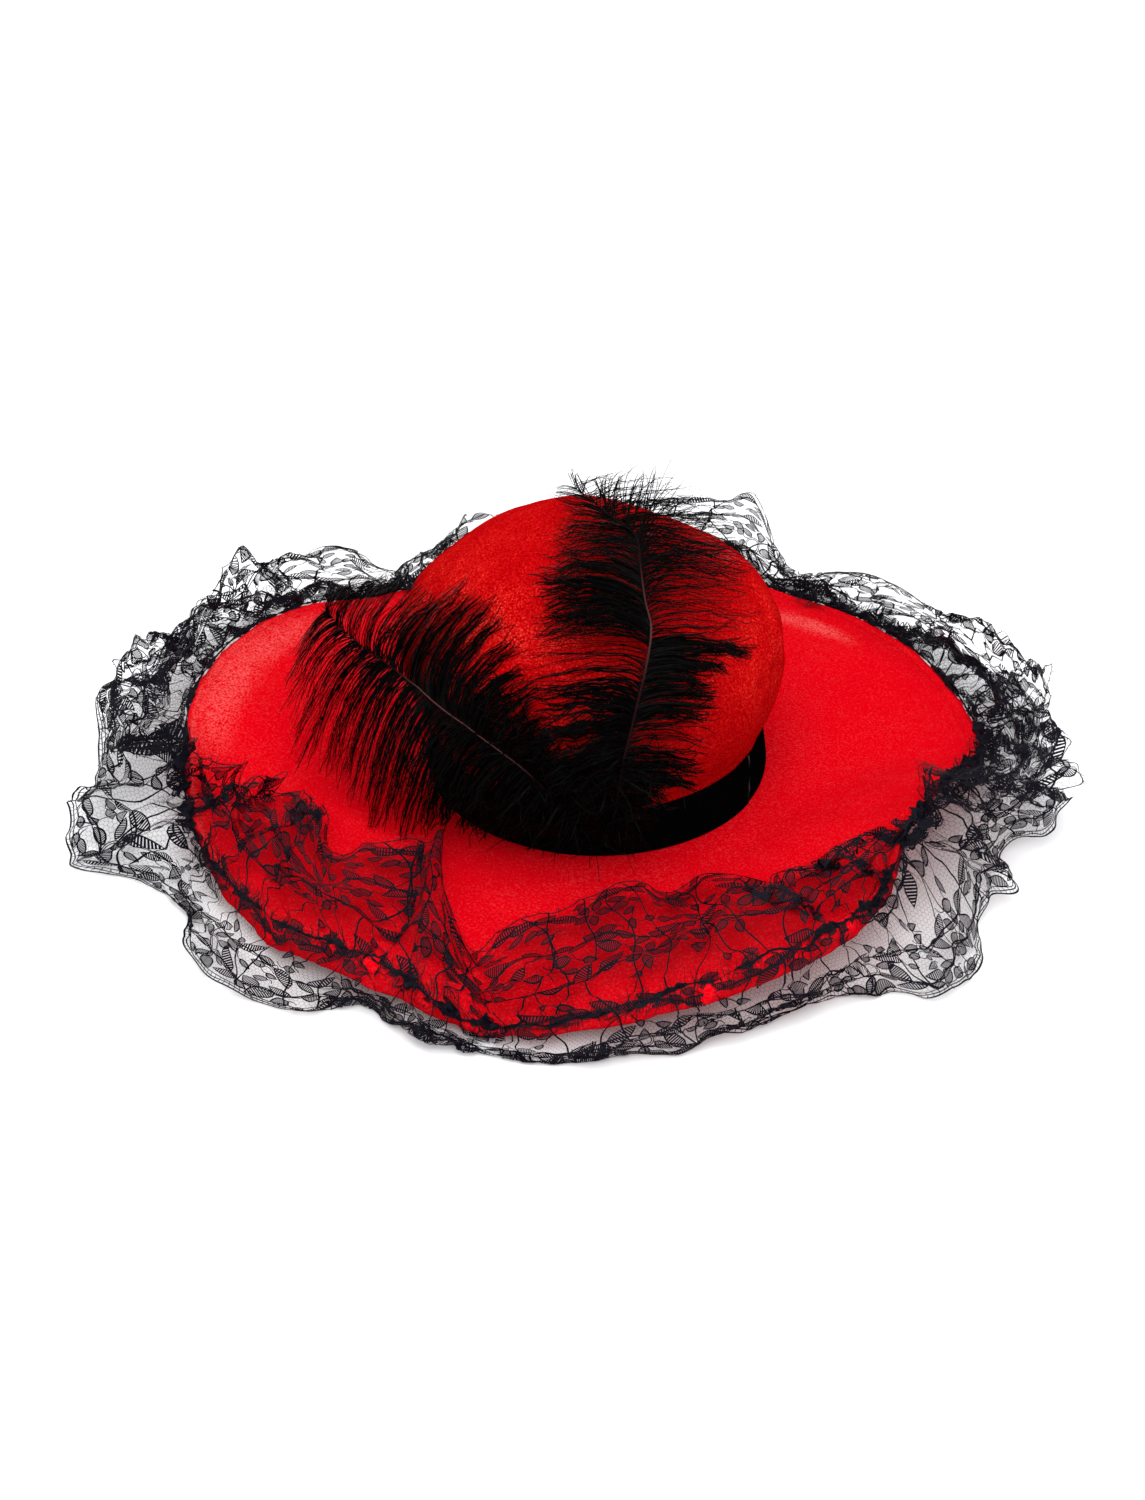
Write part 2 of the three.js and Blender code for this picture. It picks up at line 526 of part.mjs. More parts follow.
const hat = new THREE.Group();
function add(name, g, material) {
  const mesh = new THREE.Mesh(outward(g), material);
  mesh.name = name;
  hat.add(mesh);
}
add('crown', crownGeometry(), velvetRed);
add('brim', brimGeometry(), satinRed);
add('hat_band', bandGeometry(), velvetBlack);
add('lace_ruffle', laceGeometry(), laceBlack);
add('feather_left', featherGeometry(FEATHER_LEFT, FEATHER_CROWN_GAP), featherBlack);
add('feather_right', featherGeometry(FEATHER_RIGHT, FEATHER_CROWN_GAP + 8), featherBlack);

// origin: middle of the whole hat's footprint, on the table
const box = new THREE.Box3().setFromObject(hat);
hat.position.set(-(box.min.x + box.max.x) / 2, -(box.min.y + box.max.y) / 2, -box.min.z);
const part = new THREE.Group();
part.add(hat);
export default part;
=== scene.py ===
"""Wide-brimmed velvet hat with a ribbon band, a gathered lace ruffle and two
ostrich plumes: fine surfaces, threads, barbs, finishes, floor, light, camera.

Shapes are worked out in millimetres in the hat's own frame (crown axis at
x = y = 0, table at z = 0) and written in metres in the model's frame."""
import json
import math

import bpy
import numpy as np
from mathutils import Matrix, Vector

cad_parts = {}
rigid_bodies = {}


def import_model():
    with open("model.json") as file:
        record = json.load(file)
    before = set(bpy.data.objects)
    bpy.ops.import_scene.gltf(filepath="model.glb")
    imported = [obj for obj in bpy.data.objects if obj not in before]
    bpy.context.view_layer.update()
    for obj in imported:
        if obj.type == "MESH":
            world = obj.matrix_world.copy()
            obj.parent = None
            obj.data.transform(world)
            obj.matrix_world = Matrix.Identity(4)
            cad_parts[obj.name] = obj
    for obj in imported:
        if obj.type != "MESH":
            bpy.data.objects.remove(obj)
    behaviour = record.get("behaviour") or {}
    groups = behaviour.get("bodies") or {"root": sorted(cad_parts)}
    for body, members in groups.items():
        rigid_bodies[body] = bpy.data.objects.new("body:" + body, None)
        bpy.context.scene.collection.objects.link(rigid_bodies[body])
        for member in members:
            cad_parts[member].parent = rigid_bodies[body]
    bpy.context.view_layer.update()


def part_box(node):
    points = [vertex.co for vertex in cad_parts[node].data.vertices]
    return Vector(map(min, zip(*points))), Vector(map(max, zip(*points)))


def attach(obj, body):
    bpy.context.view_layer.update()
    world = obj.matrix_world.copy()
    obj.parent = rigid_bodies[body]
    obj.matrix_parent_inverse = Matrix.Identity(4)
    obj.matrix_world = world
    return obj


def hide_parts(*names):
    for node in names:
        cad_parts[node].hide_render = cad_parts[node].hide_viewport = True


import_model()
_lo, _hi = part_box("hat_band")
# hat frame (mm) to model frame (mm): the band's middle, and its foot at 25.5
SHIFT = np.array([
    (_lo[0] + _hi[0]) * 500.0,
    (_lo[1] + _hi[1]) * 500.0,
    _lo[2] * 1000.0 - 25.5,
])

# ------------------------------------------------------------------ sizes, mm
BASE_Z = 25.0
TABLE_Z = 2.45
HEAD_R = 90.7
CROWN_H = 147.0
CROWN_WALL = 2.0
BRIM_WALL = 2.4
BAND_H = 27.0
BAND_WALL = 1.2
GAP = 0.4
FLAT_R = 101.0
LEAN_X = -6.8
FEATHER_CROWN_GAP = 5.5

# crown's outside from its foot up: height, radius
CROWN = [
    (0, 92.7), (28.5, 89.8), (38, 94.6), (50, 100.0), (62, 103.4), (74, 104.5),
    (85, 104.2), (96, 100.3), (106, 92.5), (117, 81.2), (128, 67.0), (137, 51.4),
    (143.5, 33.5), (146.2, 15.0), (147, 0),
]
# soft dents in the crown: azimuth, height, half azimuth, half height, depth
CROWN_FOLDS = [
    (-22, 96, 15, 34, 1.8), (12, 82, 17, 30, 1.0), (150, 112, 22, 18, 1.5),
    (205, 100, 18, 24, 1.2), (262, 92, 20, 26, 1.0), (85, 100, 24, 22, 1.2), (48, 126, 46, 26, 3.4),
]
# brim's edge: azimuth, radius, height
BRIM_EDGE = [
    (0, 213, 29), (18, 219, 17), (40, 223, 15), (59, 225, 10), (80, 224, 12),
    (109, 223, 10), (124, 224, 14), (140, 227, 33), (158, 230, 42),
    (170, 230, 42), (182, 228, 28), (200, 227, 20), (219, 225, 23),
    (234, 225, 34), (243, 225, 29), (256, 226, 11), (268, 225, 22),
    (284, 223, 38), (299, 219, 44), (314, 208, 40), (330, 193, 55),
    (342, 197, 54),
]
# the brim's edge turns down beyond the gathers: azimuth, how far out, down
BRIM_TURN = [
    (20, 0.9, 3.0), (196, 0.9, 3.0), (212, 3.0, 8.0), (226, 4.6, 13.0),
    (236, 4.8, 14.0), (244, 4.2, 12.0), (251, 3.4, 5.5), (257, 3.0, 3.0),
    (266, 3.8, 4.8), (278, 4.4, 8.5), (290, 4.6, 10.5), (302, 4.4, 9.5),
    (318, 2.4, 5.0), (334, 0.9, 3.0),
]
# waves in the brim: azimuth, share of the way out, half widths, lift
BRIM_FOLDS = [
    (236, 0.30, 16, 0.30, -2.2), (205, 0.55, 20, 0.35, 2.0),
    (318, 0.45, 18, 0.35, 2.5), (350, 0.40, 20, 0.35, -2.5),
    (150, 0.40, 24, 0.35, -2.0),
]
# small round dimples and puckers in the brim's upper face:
# azimuth, radius, half width, depth
BRIM_DIMPLES = [
    (213, 186, 6.0, 0.9), (310, 203, 6.5, 1.1), (248, 150, 9.0, 0.7),
    (262, 128, 7.0, 0.6), (335, 165, 12.0, 1.0), (300, 165, 10.0, 0.5),
    (165, 178, 11.0, 0.6), (30, 170, 12.0, 0.6),
]
# where the brim's pile is brushed the other way and catches the light, painted as lighter sheen in the base colour:
# azimuth, radius, half azimuth, half radius, how much
BRIM_PAINTED_SHEEN = [
    (160, 216, 22, 20, 0.65), (172, 214, 14, 16, 0.45), (148, 208, 14, 14, 0.35),
    (50, 193, 9, 11, 0.9), (44.5, 196, 8, 9, 0.7), (57, 187, 7, 9, 0.6),
]
# crushed patches in the crown's pile and a crescent of light near its top, painted as lighter sheen in the base
# colour: azimuth, height, half azimuth, half height, how much
CROWN_PAINTED_SHEEN = [
    (-20, 88, 16, 30, 0.5), (-6, 104, 16, 20, 0.4), (196, 108, 42, 30, 0.55),
    (232, 122, 40, 24, 0.6), (320, 84, 16, 20, 0.20), (95, 110, 60, 26, 0.5),
    # the last three rows are a painted highlight: a crescent of light at the front of the crown's top
    (262, 78, 30, 18, 0.45), (-97, 125, 12, 6, 1.0), (-80, 131, 14, 6, 1.0), (-65, 131, 8, 5, 0.8),
]
# lace inside the gathering line: where it is gathered, its free edge (azimuth,
# radius, height) and how high it arches
LACE_INNER = [
    (0, 1, 252, 44, 30), (14, 13, 266, 42, 26), (27, 25, 251, 38, 22),
    (38, 36, 236, 39, 20), (48, 47, 231, 36, 20), (59, 59, 228, 22, 8),
    (68, 68, 256, 52, 26), (77, 76, 251, 52, 30), (90, 90, 244, 48, 28),
    (104, 104, 233, 49, 26), (114, 113, 229, 42, 22), (122, 122, 229, 27, 10),
    (133, 133, 243, 54, 24), (143, 142, 265, 49, 24), (156, 157, 262, 48, 22),
    (170, 170, 277, 49, 22), (181, 182, 278, 44, 20), (188, 189, 226, 46, 26),
    (196, 190, 196, 34, 22), (207, 195, 163, 34, 22), (220, 206, 163, 33, 20),
    (228, 213, 168, 34, 16), (237, 217, 150, 31, 16), (245, 223, 120, 31, 20),
    (251, 240, 158, 33, 14), (256, 250, 190, 31, 8), (263, 256, 156, 30, 14),
    (275, 271, 131, 30, 18), (290, 292, 126, 30, 18), (301, 304, 149, 33, 14),
    (311, 314, 162, 36, 12), (320, 322, 184, 46, 10), (328, 329, 205, 64, 14),
    (340, 340, 243, 48, 22), (350, 351, 264, 40, 22),
]
# lace outside the gathering line: its free edge and the turn that it takes
LACE_OUTER = [
    (0, 256, 14, 240, 18), (16, 264, 12, 246, 12), (34, 246, 5, 240, 12),
    (48, 247, 3, 242, 6), (60, 240, 3, 238, 4), (75, 282, 3, 256, 8),
    (92, 284, 3, 252, 8), (108, 262, 3, 244, 6), (120, 242, 3, 240, 6),
    (133, 268, 6, 252, 24), (146, 286, 12, 258, 32), (160, 284, 18, 260, 38),
    (174, 288, 18, 262, 34), (186, 290, 10, 264, 20), (194, 297, 5, 264, 14),
    (200, 262, 4, 248, 12), (207, 247, 3, 244, 10), (213, 259, 3, 246, 12),
    (220, 266, 3, 248, 14), (227, 260, 3, 247, 16), (233, 249, 3, 244, 18),
    (237.5, 221, 3, 236, 16), (246, 235, 3, 241, 15), (254, 239, 3, 242, 8),
    (264, 236, 3, 242, 10), (274, 231, 3, 241, 16), (284, 228, 3, 240, 22),
    (296, 220, 3, 238, 26), (305, 220, 4, 236, 26), (314, 258, 3, 236, 16),
    (322, 259, 3, 234, 24), (331, 236, 8, 224, 36), (342, 240, 12, 230, 34),
    (352, 260, 14, 238, 26),
]
# ribbon used for each degree round the brim: azimuth, mm
LACE_FULLNESS = [
    (0, 5.2), (40, 4.9), (66, 4.1), (92, 4.9), (130, 5.0), (180, 5.2), (200, 4.9),
    (222, 4.5), (240, 4.3), (256, 4.15), (275, 4.1), (292, 4.15), (306, 4.3),
    (325, 4.9), (345, 6.0),
]
# flat pleats in the inner leaf, where it lies on the brim: azimuth on the
# gathering line, overlap there and at the free edge, slant, bow, spacing
LACE_PLEATS = [
    (198, 6, 14, 0.25, 4, 1.2), (209, 3, 20, 0.24, -3, 1.1), (219, 2, 12, 0.05, 3, 1.1),
    (240, 5, 16, 0.12, 4, 1.1), (245.5, 14, 5, 0.02, 2, 1.1), (251, 16, 6, -0.05, -3, 1.1), (309, 4, 15, -0.62, -4, 1.2),
    (317, 8, 11, -0.40, 4, 1.2), (324, 8, 9, -0.15, 3, 1.2),
]
# thick bunches of gathers on the sewing line: azimuth, half azimuth, size
LACE_BUNCHES = [
    (192, 6, 4.5), (203, 5, 4.0), (214, 4, 2.0), (236, 4, 2.6), (247, 6, 6.0),
    (256, 4, 3.4), (283, 4, 1.6), (303, 4, 3.0), (314, 6, 4.0), (329, 6, 4.0),
    (346, 8, 3.2), (8, 6, 2.4), (50, 6, 2.2), (66, 5, 2.4), (118, 6, 2.2),
    (141, 5, 1.8), (163, 5, 1.8), (180, 5, 2.6),
]
RIB_L, RIB_W, GATHER_V = 1950.0, 170.0, 103.0
REPEATS = 13
# folds along the ribbon where it is crowded: how far apart on the flat cloth,
# and the share of the spare width that they take up
FOLD_PITCH, FOLD_SHARE = 22.0, 0.85
UNIT = RIB_L / REPEATS

# plumes, a row for each section along the quill: quill's point, tips of the
# barbs on its two sides
PLUME_LEFT = [
    ((-8, -93, 48), (-15, -93, 43), (-3, -93, 54)),
    ((-11, -100, 60), (-27, -99, 46), (-5, -103, 74)),
    ((-21, -104, 69), (-42, -95, 40), (-12, -108, 96)),
    ((-40, -106, 92), (-69, -95, 38), (-25, -104, 118)),
    ((-64, -92, 104), (-91, -86, 36), (-35, -88, 140)),
    ((-82, -74, 109), (-110, -76, 33), (-51, -52, 160)),
    ((-99, -56, 112), (-129, -63, 32), (-67, -36, 160)),
    ((-112, -42, 114), (-148, -50, 35), (-84, -30, 158)),
    ((-125, -29, 116), (-164, -38, 48), (-103, -14, 156)),
    ((-138, -17, 121), (-171, -25, 75), (-116, -7, 152)),
    ((-146, -9, 127), (-161, -12, 110), (-134, -2, 143)),
]
PLUME_RIGHT = [
    ((6, -93, 48), (12, -93, 44), (1, -93, 54)),
    ((8, -105, 66), (18, -104, 60), (0, -108, 73)),
    ((12, -117, 100), (55, -107, 92), (-20, -118, 88)),
    ((18, -112, 128), (61, -104, 124), (-33, -118, 133)),
    ((24, -96, 146), (65, -94, 142), (-35, -109, 153)),
    ((27, -79, 160), (79, -76, 157), (-31, -89, 172)),
    ((24, -65, 169), (81, -54, 163), (-34, -66, 181)),
    ((22, -49, 178), (79, -39, 171), (-31, -48, 185)),
    ((20, -27, 184), (77, -17, 167), (-22, -24, 185)),
    ((10, -17, 188), (68, 9, 176), (-20, -2, 187)),
    ((-1, -6, 191), (50, 27, 180), (-22, 6, 189)),
    ((-12, 5, 195), (6, 27, 192), (-24, 10, 193)),
]


# ------------------------------------------------------------------ helpers
def col(rows, k):
    return np.array([r[k] for r in rows], float)


def curve(x, y, periodic=False):
    """Smooth curve through points without overshoot, period 360 if asked."""
    x, y = np.array(x, float), np.array(y, float)
    if periodic:
        x, y = np.append(x, x[0] + 360), np.append(y, y[0])
    n = len(x)
    d = np.diff(y) / np.diff(x)

    def blend(a, b):
        s = a + b
        return np.where(a * b <= 0, 0.0, 2 * a * b / np.where(s == 0, 1, s))

    m = np.empty(n)
    m[1:-1] = blend(d[:-1], d[1:])
    if periodic:
        m[0] = m[-1] = float(blend(d[-1], d[0]))
    else:
        m[0], m[-1] = d[0], d[-1]

    def f(t):
        t = np.asarray(t, float)
        if periodic:
            t = x[0] + np.mod(t - x[0], 360)
        t = np.clip(t, x[0], x[-1])
        i = np.clip(np.searchsorted(x, t, side="right") - 1, 0, n - 2)
        h = x[i + 1] - x[i]
        u = (t - x[i]) / h
        return (
            (1 + 2 * u) * (1 - u) ** 2 * y[i] + u * (1 - u) ** 2 * h * m[i]
            + u * u * (3 - 2 * u) * y[i + 1] + u * u * (u - 1) * h * m[i + 1]
        )

    return f


def bell(x):
    return np.where(np.abs(x) < 1, (1 - np.minimum(x * x, 1)) ** 2, 0.0)


def wrap(a):
    return np.mod(np.asarray(a, float) + 180, 360) - 180


def ease(x):
    x = np.clip(x, 0, 1)
    return x * x * (3 - 2 * x)


def unit_of(v):
    return v / np.maximum(np.linalg.norm(v, axis=-1, keepdims=True), 1e-9)


def polar(az, r, z):
    a = np.radians(az)
    return np.stack([r * np.cos(a), r * np.sin(a), z + 0 * a], -1)


def waves(p, size, seed, count=14):
    """Smooth noise of about unit strength with features of about size mm."""
    g = np.random.default_rng(seed)
    p = np.asarray(p, float)
    out = np.zeros(p.shape[:-1])
    for _ in range(count):
        d = g.normal(size=p.shape[-1])
        d /= np.linalg.norm(d)
        k = 2 * math.pi / (size * (0.65 + 0.9 * g.random()))
        out += np.sin(p @ (d * k) + g.random() * 2 * math.pi)
    return out / math.sqrt(count / 2)


def creases(p, size, seed, count=6):
    """Noise made of flat facets that meet in sharp folds."""
    g = np.random.default_rng(seed)
    out = np.zeros(p.shape[:-1])
    for _ in range(count):
        d = g.normal(size=p.shape[-1])
        d /= np.linalg.norm(d)
        k = 2 * math.pi / (size * (0.6 + 1.0 * g.random()))
        out += np.arcsin(0.985 * np.sin(p @ (d * k) + g.random() * 6.283)) * 0.64
    return out / math.sqrt(count / 2)


class Heap:
    """Gathers quads and triangles and makes one mesh of them."""

    def __init__(self):
        self.v, self.q, self.t, self.uv, self.tone, self.n = [], [], [], [], [], 0

    def add(self, v, q=None, t=None, uv=None, tone=0.0):
        v = np.asarray(v, float).reshape(-1, 3)
        self.v.append(v)
        self.uv.append(
            np.zeros((len(v), 2)) if uv is None else np.asarray(uv, float).reshape(-1, 2)
        )
        self.tone.append(np.broadcast_to(np.asarray(tone, float).reshape(-1), (len(v),))
                         if np.size(tone) in (1, len(v)) else np.zeros(len(v)))
        if q is not None and len(q):
            self.q.append(np.asarray(q, np.int64).reshape(-1, 4) + self.n)
        if t is not None and len(t):
            self.t.append(np.asarray(t, np.int64).reshape(-1, 3) + self.n)
        self.n += len(v)

    def loose_quads(self, v, uv=None, tone=0.0):
        """v is (n, 4, 3)."""
        n = len(v)
        self.add(v.reshape(-1, 3), q=np.arange(n * 4).reshape(n, 4),
                 uv=None if uv is None else uv.reshape(-1, 2), tone=tone)

    def ribbons(self, centre, side, width, uv=None, tone=0.0, lift=None, rise=0.0):
        """Strips along centre (n, m, 3), side a unit vector at each point; with
        lift they are ridged, rise high in the middle."""
        n, m = centre.shape[:2]
        w = np.broadcast_to(np.asarray(width, float), (n, m))[..., None] / 2
        rows = [centre - side * w, centre + side * w]
        if lift is not None:
            rows.insert(1, centre + lift * rise)
        k = len(rows)
        v = np.stack(rows, 2)
        idx = np.arange(n * m * k).reshape(n, m, k)
        q = [
            np.stack([idx[:, :-1, a], idx[:, :-1, a + 1], idx[:, 1:, a + 1], idx[:, 1:, a]], -1)
            for a in range(k - 1)
        ]
        tn = None
        if np.ndim(tone):
            tn = np.repeat(np.broadcast_to(tone, (n, m))[..., None], k, 2).reshape(-1)
        uvv = None
        if uv is not None:
            uvv = np.repeat(uv[:, :, None, :], k, 2).reshape(-1, 2)
        self.add(v.reshape(-1, 3), q=np.concatenate([a.reshape(-1, 4) for a in q]),
                 uv=uvv, tone=tone if tn is None else tn)

    def tube(self, line, radius, sides=6, closed=False, tone=0.0, uv=None, up=(0, 0, 1)):
        m = len(line)
        nxt = np.roll(line, -1, 0) if closed else np.vstack([line[1:], 2 * line[-1:] - line[-2:-1]])
        prv = np.roll(line, 1, 0) if closed else np.vstack([2 * line[:1] - line[1:2], line[:-1]])
        d = unit_of(nxt - prv)
        a = unit_of(np.cross(d, np.broadcast_to(np.array(up, float), d.shape)) + 1e-6)
        b = np.cross(a, d)
        ang = np.arange(sides) * 2 * math.pi / sides
        r = np.broadcast_to(np.asarray(radius, float), (m,))[:, None, None]
        v = line[:, None] + r * (
            a[:, None] * np.cos(ang)[None, :, None] + b[:, None] * np.sin(ang)[None, :, None]
        )
        idx = np.arange(m * sides).reshape(m, sides)
        if closed:
            idx = np.vstack([idx, idx[:1]])
        nx = np.roll(idx, -1, 1)
        q = np.stack([idx[:-1], nx[:-1], nx[1:], idx[1:]], -1).reshape(-1, 4)
        verts, tris = v.reshape(-1, 3), None
        tn = np.repeat(np.broadcast_to(np.asarray(tone, float), (m,)), sides)
        uvv = None if uv is None else np.repeat(uv, sides, 0)
        if not closed:  # pointed caps
            verts = np.vstack([verts, line[:1], line[-1:]])
            c0, c1 = m * sides, m * sides + 1
            tris = np.vstack([
                np.stack([np.full(sides, c0), nx[0], idx[0]], -1),
                np.stack([np.full(sides, c1), idx[-1], nx[m - 1]], -1),
            ])
            tn = np.append(tn, [tn[0], tn[-1]])
            if uvv is not None:
                uvv = np.vstack([uvv, uv[:1], uv[-1:]])
        self.add(verts, q=q, t=tris, tone=tn, uv=uvv)

    def triangles(self):
        return sum(len(q) * 2 for q in self.q) + sum(len(t) for t in self.t)

    def flat_area(self, width, height):
        """Area on the flat pattern, from the texture places."""
        uv = np.concatenate(self.uv) * np.array([width, height])
        total = 0.0
        for f in (np.concatenate(self.q) if self.q else None, np.concatenate(self.t) if self.t else None):
            if f is None:
                continue
            c = uv[f]
            c = c[np.ptp(c[..., 0], axis=1) < width / 2]
            n = np.roll(c, -1, 1)
            total += 0.5 * np.abs((c[..., 0] * n[..., 1] - c[..., 1] * n[..., 0]).sum(1)).sum()
        return float(total)

    def make(self, name, material, smooth=False):
        v = (np.concatenate(self.v) + SHIFT) * 0.001
        q = np.concatenate(self.q) if self.q else np.zeros((0, 4), np.int64)
        t = np.concatenate(self.t) if self.t else np.zeros((0, 3), np.int64)
        me = bpy.data.meshes.new(name)
        me.vertices.add(len(v))
        me.vertices.foreach_set("co", v.astype(np.float32).ravel())
        loops = np.concatenate([q.ravel(), t.ravel()]).astype(np.int32)
        me.loops.add(len(loops))
        me.loops.foreach_set("vertex_index", loops)
        me.polygons.add(len(q) + len(t))
        me.polygons.foreach_set(
            "loop_start",
            np.concatenate([np.arange(len(q)) * 4, len(q) * 4 + np.arange(len(t)) * 3]).astype(np.int32),
        )
        me.update(calc_edges=True)
        uv = np.concatenate(self.uv)
        layer = me.uv_layers.new(name="OFBake")
        layer.data.foreach_set("uv", uv[loops].astype(np.float32).ravel())
        tone = me.attributes.new("tone", "FLOAT", "POINT")
        tone.data.foreach_set("value", np.concatenate(self.tone).astype(np.float32))
        me.polygons.foreach_set("use_smooth", np.full(len(me.polygons), bool(smooth)))
        me.materials.append(material)
        me.update()
        ob = bpy.data.objects.new(name, me)
        bpy.context.scene.collection.objects.link(ob)
        return ob


def ring_grid(heap, grid, close_u=True, flip=False, uv=None, tone=0.0):
    """Quads over grid (nu, nv, 3), closed along u."""
    nu, nv = grid.shape[:2]
    idx = np.arange(nu * nv).reshape(nu, nv)
    if close_u:
        idx = np.vstack([idx, idx[:1]])
    q = np.stack([idx[:-1, :-1], idx[1:, :-1], idx[1:, 1:], idx[:-1, 1:]], -1).reshape(-1, 4)
    if flip:
        q = q[:, ::-1]
    heap.add(grid.reshape(-1, 3), q=q, uv=None if uv is None else uv.reshape(-1, 2),
             tone=tone if np.size(tone) == 1 else np.asarray(tone).reshape(-1))


# ------------------------------------------------------------------ materials
def nodes_of(name):
    m = bpy.data.materials.new(name)
    m.use_nodes = True
    t = m.node_tree
    t.nodes.clear()
    out = t.nodes.new("ShaderNodeOutputMaterial")
    p = t.nodes.new("ShaderNodeBsdfPrincipled")
    t.links.new(p.outputs[0], out.inputs[0])
    return m, t, p


def noise_node(t, where, scale, detail=2.0, rough=0.5, distortion=0.0):
    n = t.nodes.new("ShaderNodeTexNoise")
    n.inputs["Scale"].default_value = scale
    n.inputs["Detail"].default_value = detail
    n.inputs["Roughness"].default_value = rough
    n.inputs["Distortion"].default_value = distortion
    t.links.new(where, n.inputs["Vector"])
    return n.outputs["Fac"]


def math_node(t, op, a, b=0.0, clamp=False):
    n = t.nodes.new("ShaderNodeMath")
    n.operation = op
    n.use_clamp = clamp
    for k, x in enumerate((a, b)):
        if isinstance(x, (int, float)):
            n.inputs[k].default_value = x
        else:
            t.links.new(x, n.inputs[k])
    return n.outputs[0]


def ramp_node(t, fac, stops):
    n = t.nodes.new("ShaderNodeValToRGB")
    e = n.color_ramp.elements
    while len(e) > 1:
        e.remove(e[-1])
    e[0].position, e[0].color = stops[0][0], (*stops[0][1], 1)
    for pos, c in stops[1:]:
        x = e.new(pos)
        x.color = (*c, 1)
    t.links.new(fac, n.inputs[0])
    return n.outputs[0]


def bump_node(t, height, strength, distance, normal=None):
    n = t.nodes.new("ShaderNodeBump")
    n.inputs["Strength"].default_value = strength
    n.inputs["Distance"].default_value = distance
    t.links.new(height, n.inputs["Height"])
    if normal is not None:
        t.links.new(normal, n.inputs["Normal"])
    return n.outputs[0]


def attribute(t, name):
    n = t.nodes.new("ShaderNodeAttribute")
    n.attribute_name = name
    return n.outputs["Fac"]


def velvet(name, stops, sheen, tint, mottle, grain_bump, crush, sheen_paint_gain, speck, tuft):
    """Short-pile velvet: slow mottling, painted sheen by the tone attribute (patches where the pile is crushed or
    brushed and catches the light, painted lighter in the base colour), grain of the pile's tufts."""
    m, t, p = nodes_of(name)
    where = t.nodes.new("ShaderNodeTexCoord").outputs["Object"]
    slow = noise_node(t, where, 26, 3, 0.55, 0.6)
    patch = noise_node(t, where, 120, 3, 0.6, 0.8)
    grain = noise_node(t, where, tuft, 3, 0.65)
    # painted sheen: the tone attribute lifts the base colour towards the ramp's light end, standing in for light
    # caught by the pile
    sheen_paint = attribute(t, "tone")
    a = math_node(t, "MULTIPLY", math_node(t, "SUBTRACT", slow, 0.5), mottle)
    b = math_node(t, "MULTIPLY", math_node(t, "SUBTRACT", patch, 0.5), mottle * 0.6)
    gstep = math_node(t, "MULTIPLY", math_node(t, "SUBTRACT", grain, 0.5), speck)
    rough_sheen_paint = math_node(t, "MULTIPLY", sheen_paint, math_node(
        t, "ADD", math_node(t, "MULTIPLY", patch, 1.1), math_node(t, "MULTIPLY", grain, 4.0)))
    lit = math_node(t, "MULTIPLY", math_node(t, "SUBTRACT", rough_sheen_paint, math_node(t, "MULTIPLY", sheen_paint, 2.07)), sheen_paint_gain)
    f = math_node(t, "ADD", math_node(t, "ADD", a, b), math_node(t, "ADD", gstep, lit))
    f = math_node(t, "ADD", f, 0.5, clamp=True)
    c = ramp_node(t, f, stops)
    t.links.new(c, p.inputs["Base Color"])
    p.inputs["Roughness"].default_value = 0.85
    p.inputs["Specular IOR Level"].default_value = 0.0
    p.inputs["Sheen Weight"].default_value = sheen
    p.inputs["Sheen Roughness"].default_value = 0.30
    p.inputs["Sheen Tint"].default_value = (*tint, 1)
    h = bump_node(t, grain, grain_bump, 0.0004)
    h = bump_node(t, patch, crush, 0.0016, h)
    t.links.new(h, p.inputs["Normal"])
    return m


def thread(name, low, high, rough, sheen, spec=0.3, scale=900, tone_colours=None):
    """Yarn or barbs: dark, varying along each strand."""
    m, t, p = nodes_of(name)
    where = t.nodes.new("ShaderNodeTexCoord").outputs["Object"]
    n = noise_node(t, where, scale, 2, 0.6)
    c = ramp_node(t, n, [(0.3, low), (0.7, high)])
    if tone_colours:
        tone = attribute(t, "tone")
        tc = ramp_node(t, tone, tone_colours)
        mix = t.nodes.new("ShaderNodeMix")
        mix.data_type = "RGBA"
        gate = math_node(t, "GREATER_THAN", tone, 0.02)
        t.links.new(gate, mix.inputs[0])
        t.links.new(c, mix.inputs[6])
        t.links.new(tc, mix.inputs[7])
        c = mix.outputs[2]
    t.links.new(c, p.inputs["Base Color"])
    p.inputs["Roughness"].default_value = rough
    p.inputs["Specular IOR Level"].default_value = spec
    p.inputs["Sheen Weight"].default_value = sheen
    p.inputs["Sheen Roughness"].default_value = 0.5
    t.links.new(bump_node(t, n, 0.25, 0.0002), p.inputs["Normal"])
    return m


# the light end of each velvet ramp is the colour of the painted sheen, a highlight painted into the base colour
M_CROWN = velvet("crown_velvet", [(0.0, (0.15, 0.0, 0.001)), (0.5, (0.355, 0.0006, 0.002)),
                                  (0.78, (0.47, 0.008, 0.006)), (1.0, (0.67, 0.040, 0.026))],
                 0.006, (1.0, 0.06, 0.03), 0.46, 0.55, 0.38, 0.28, 1.80, 860)
M_BRIM = velvet("brim_velvet", [(0.0, (0.42, 0.0, 0.003)), (0.5, (0.53, 0.0, 0.0045)), (1.0, (0.60, 0.06, 0.06))],
                0.006, (1.0, 0.02, 0.02), 0.10, 0.24, 0.05, 0.80, 0.75, 860)
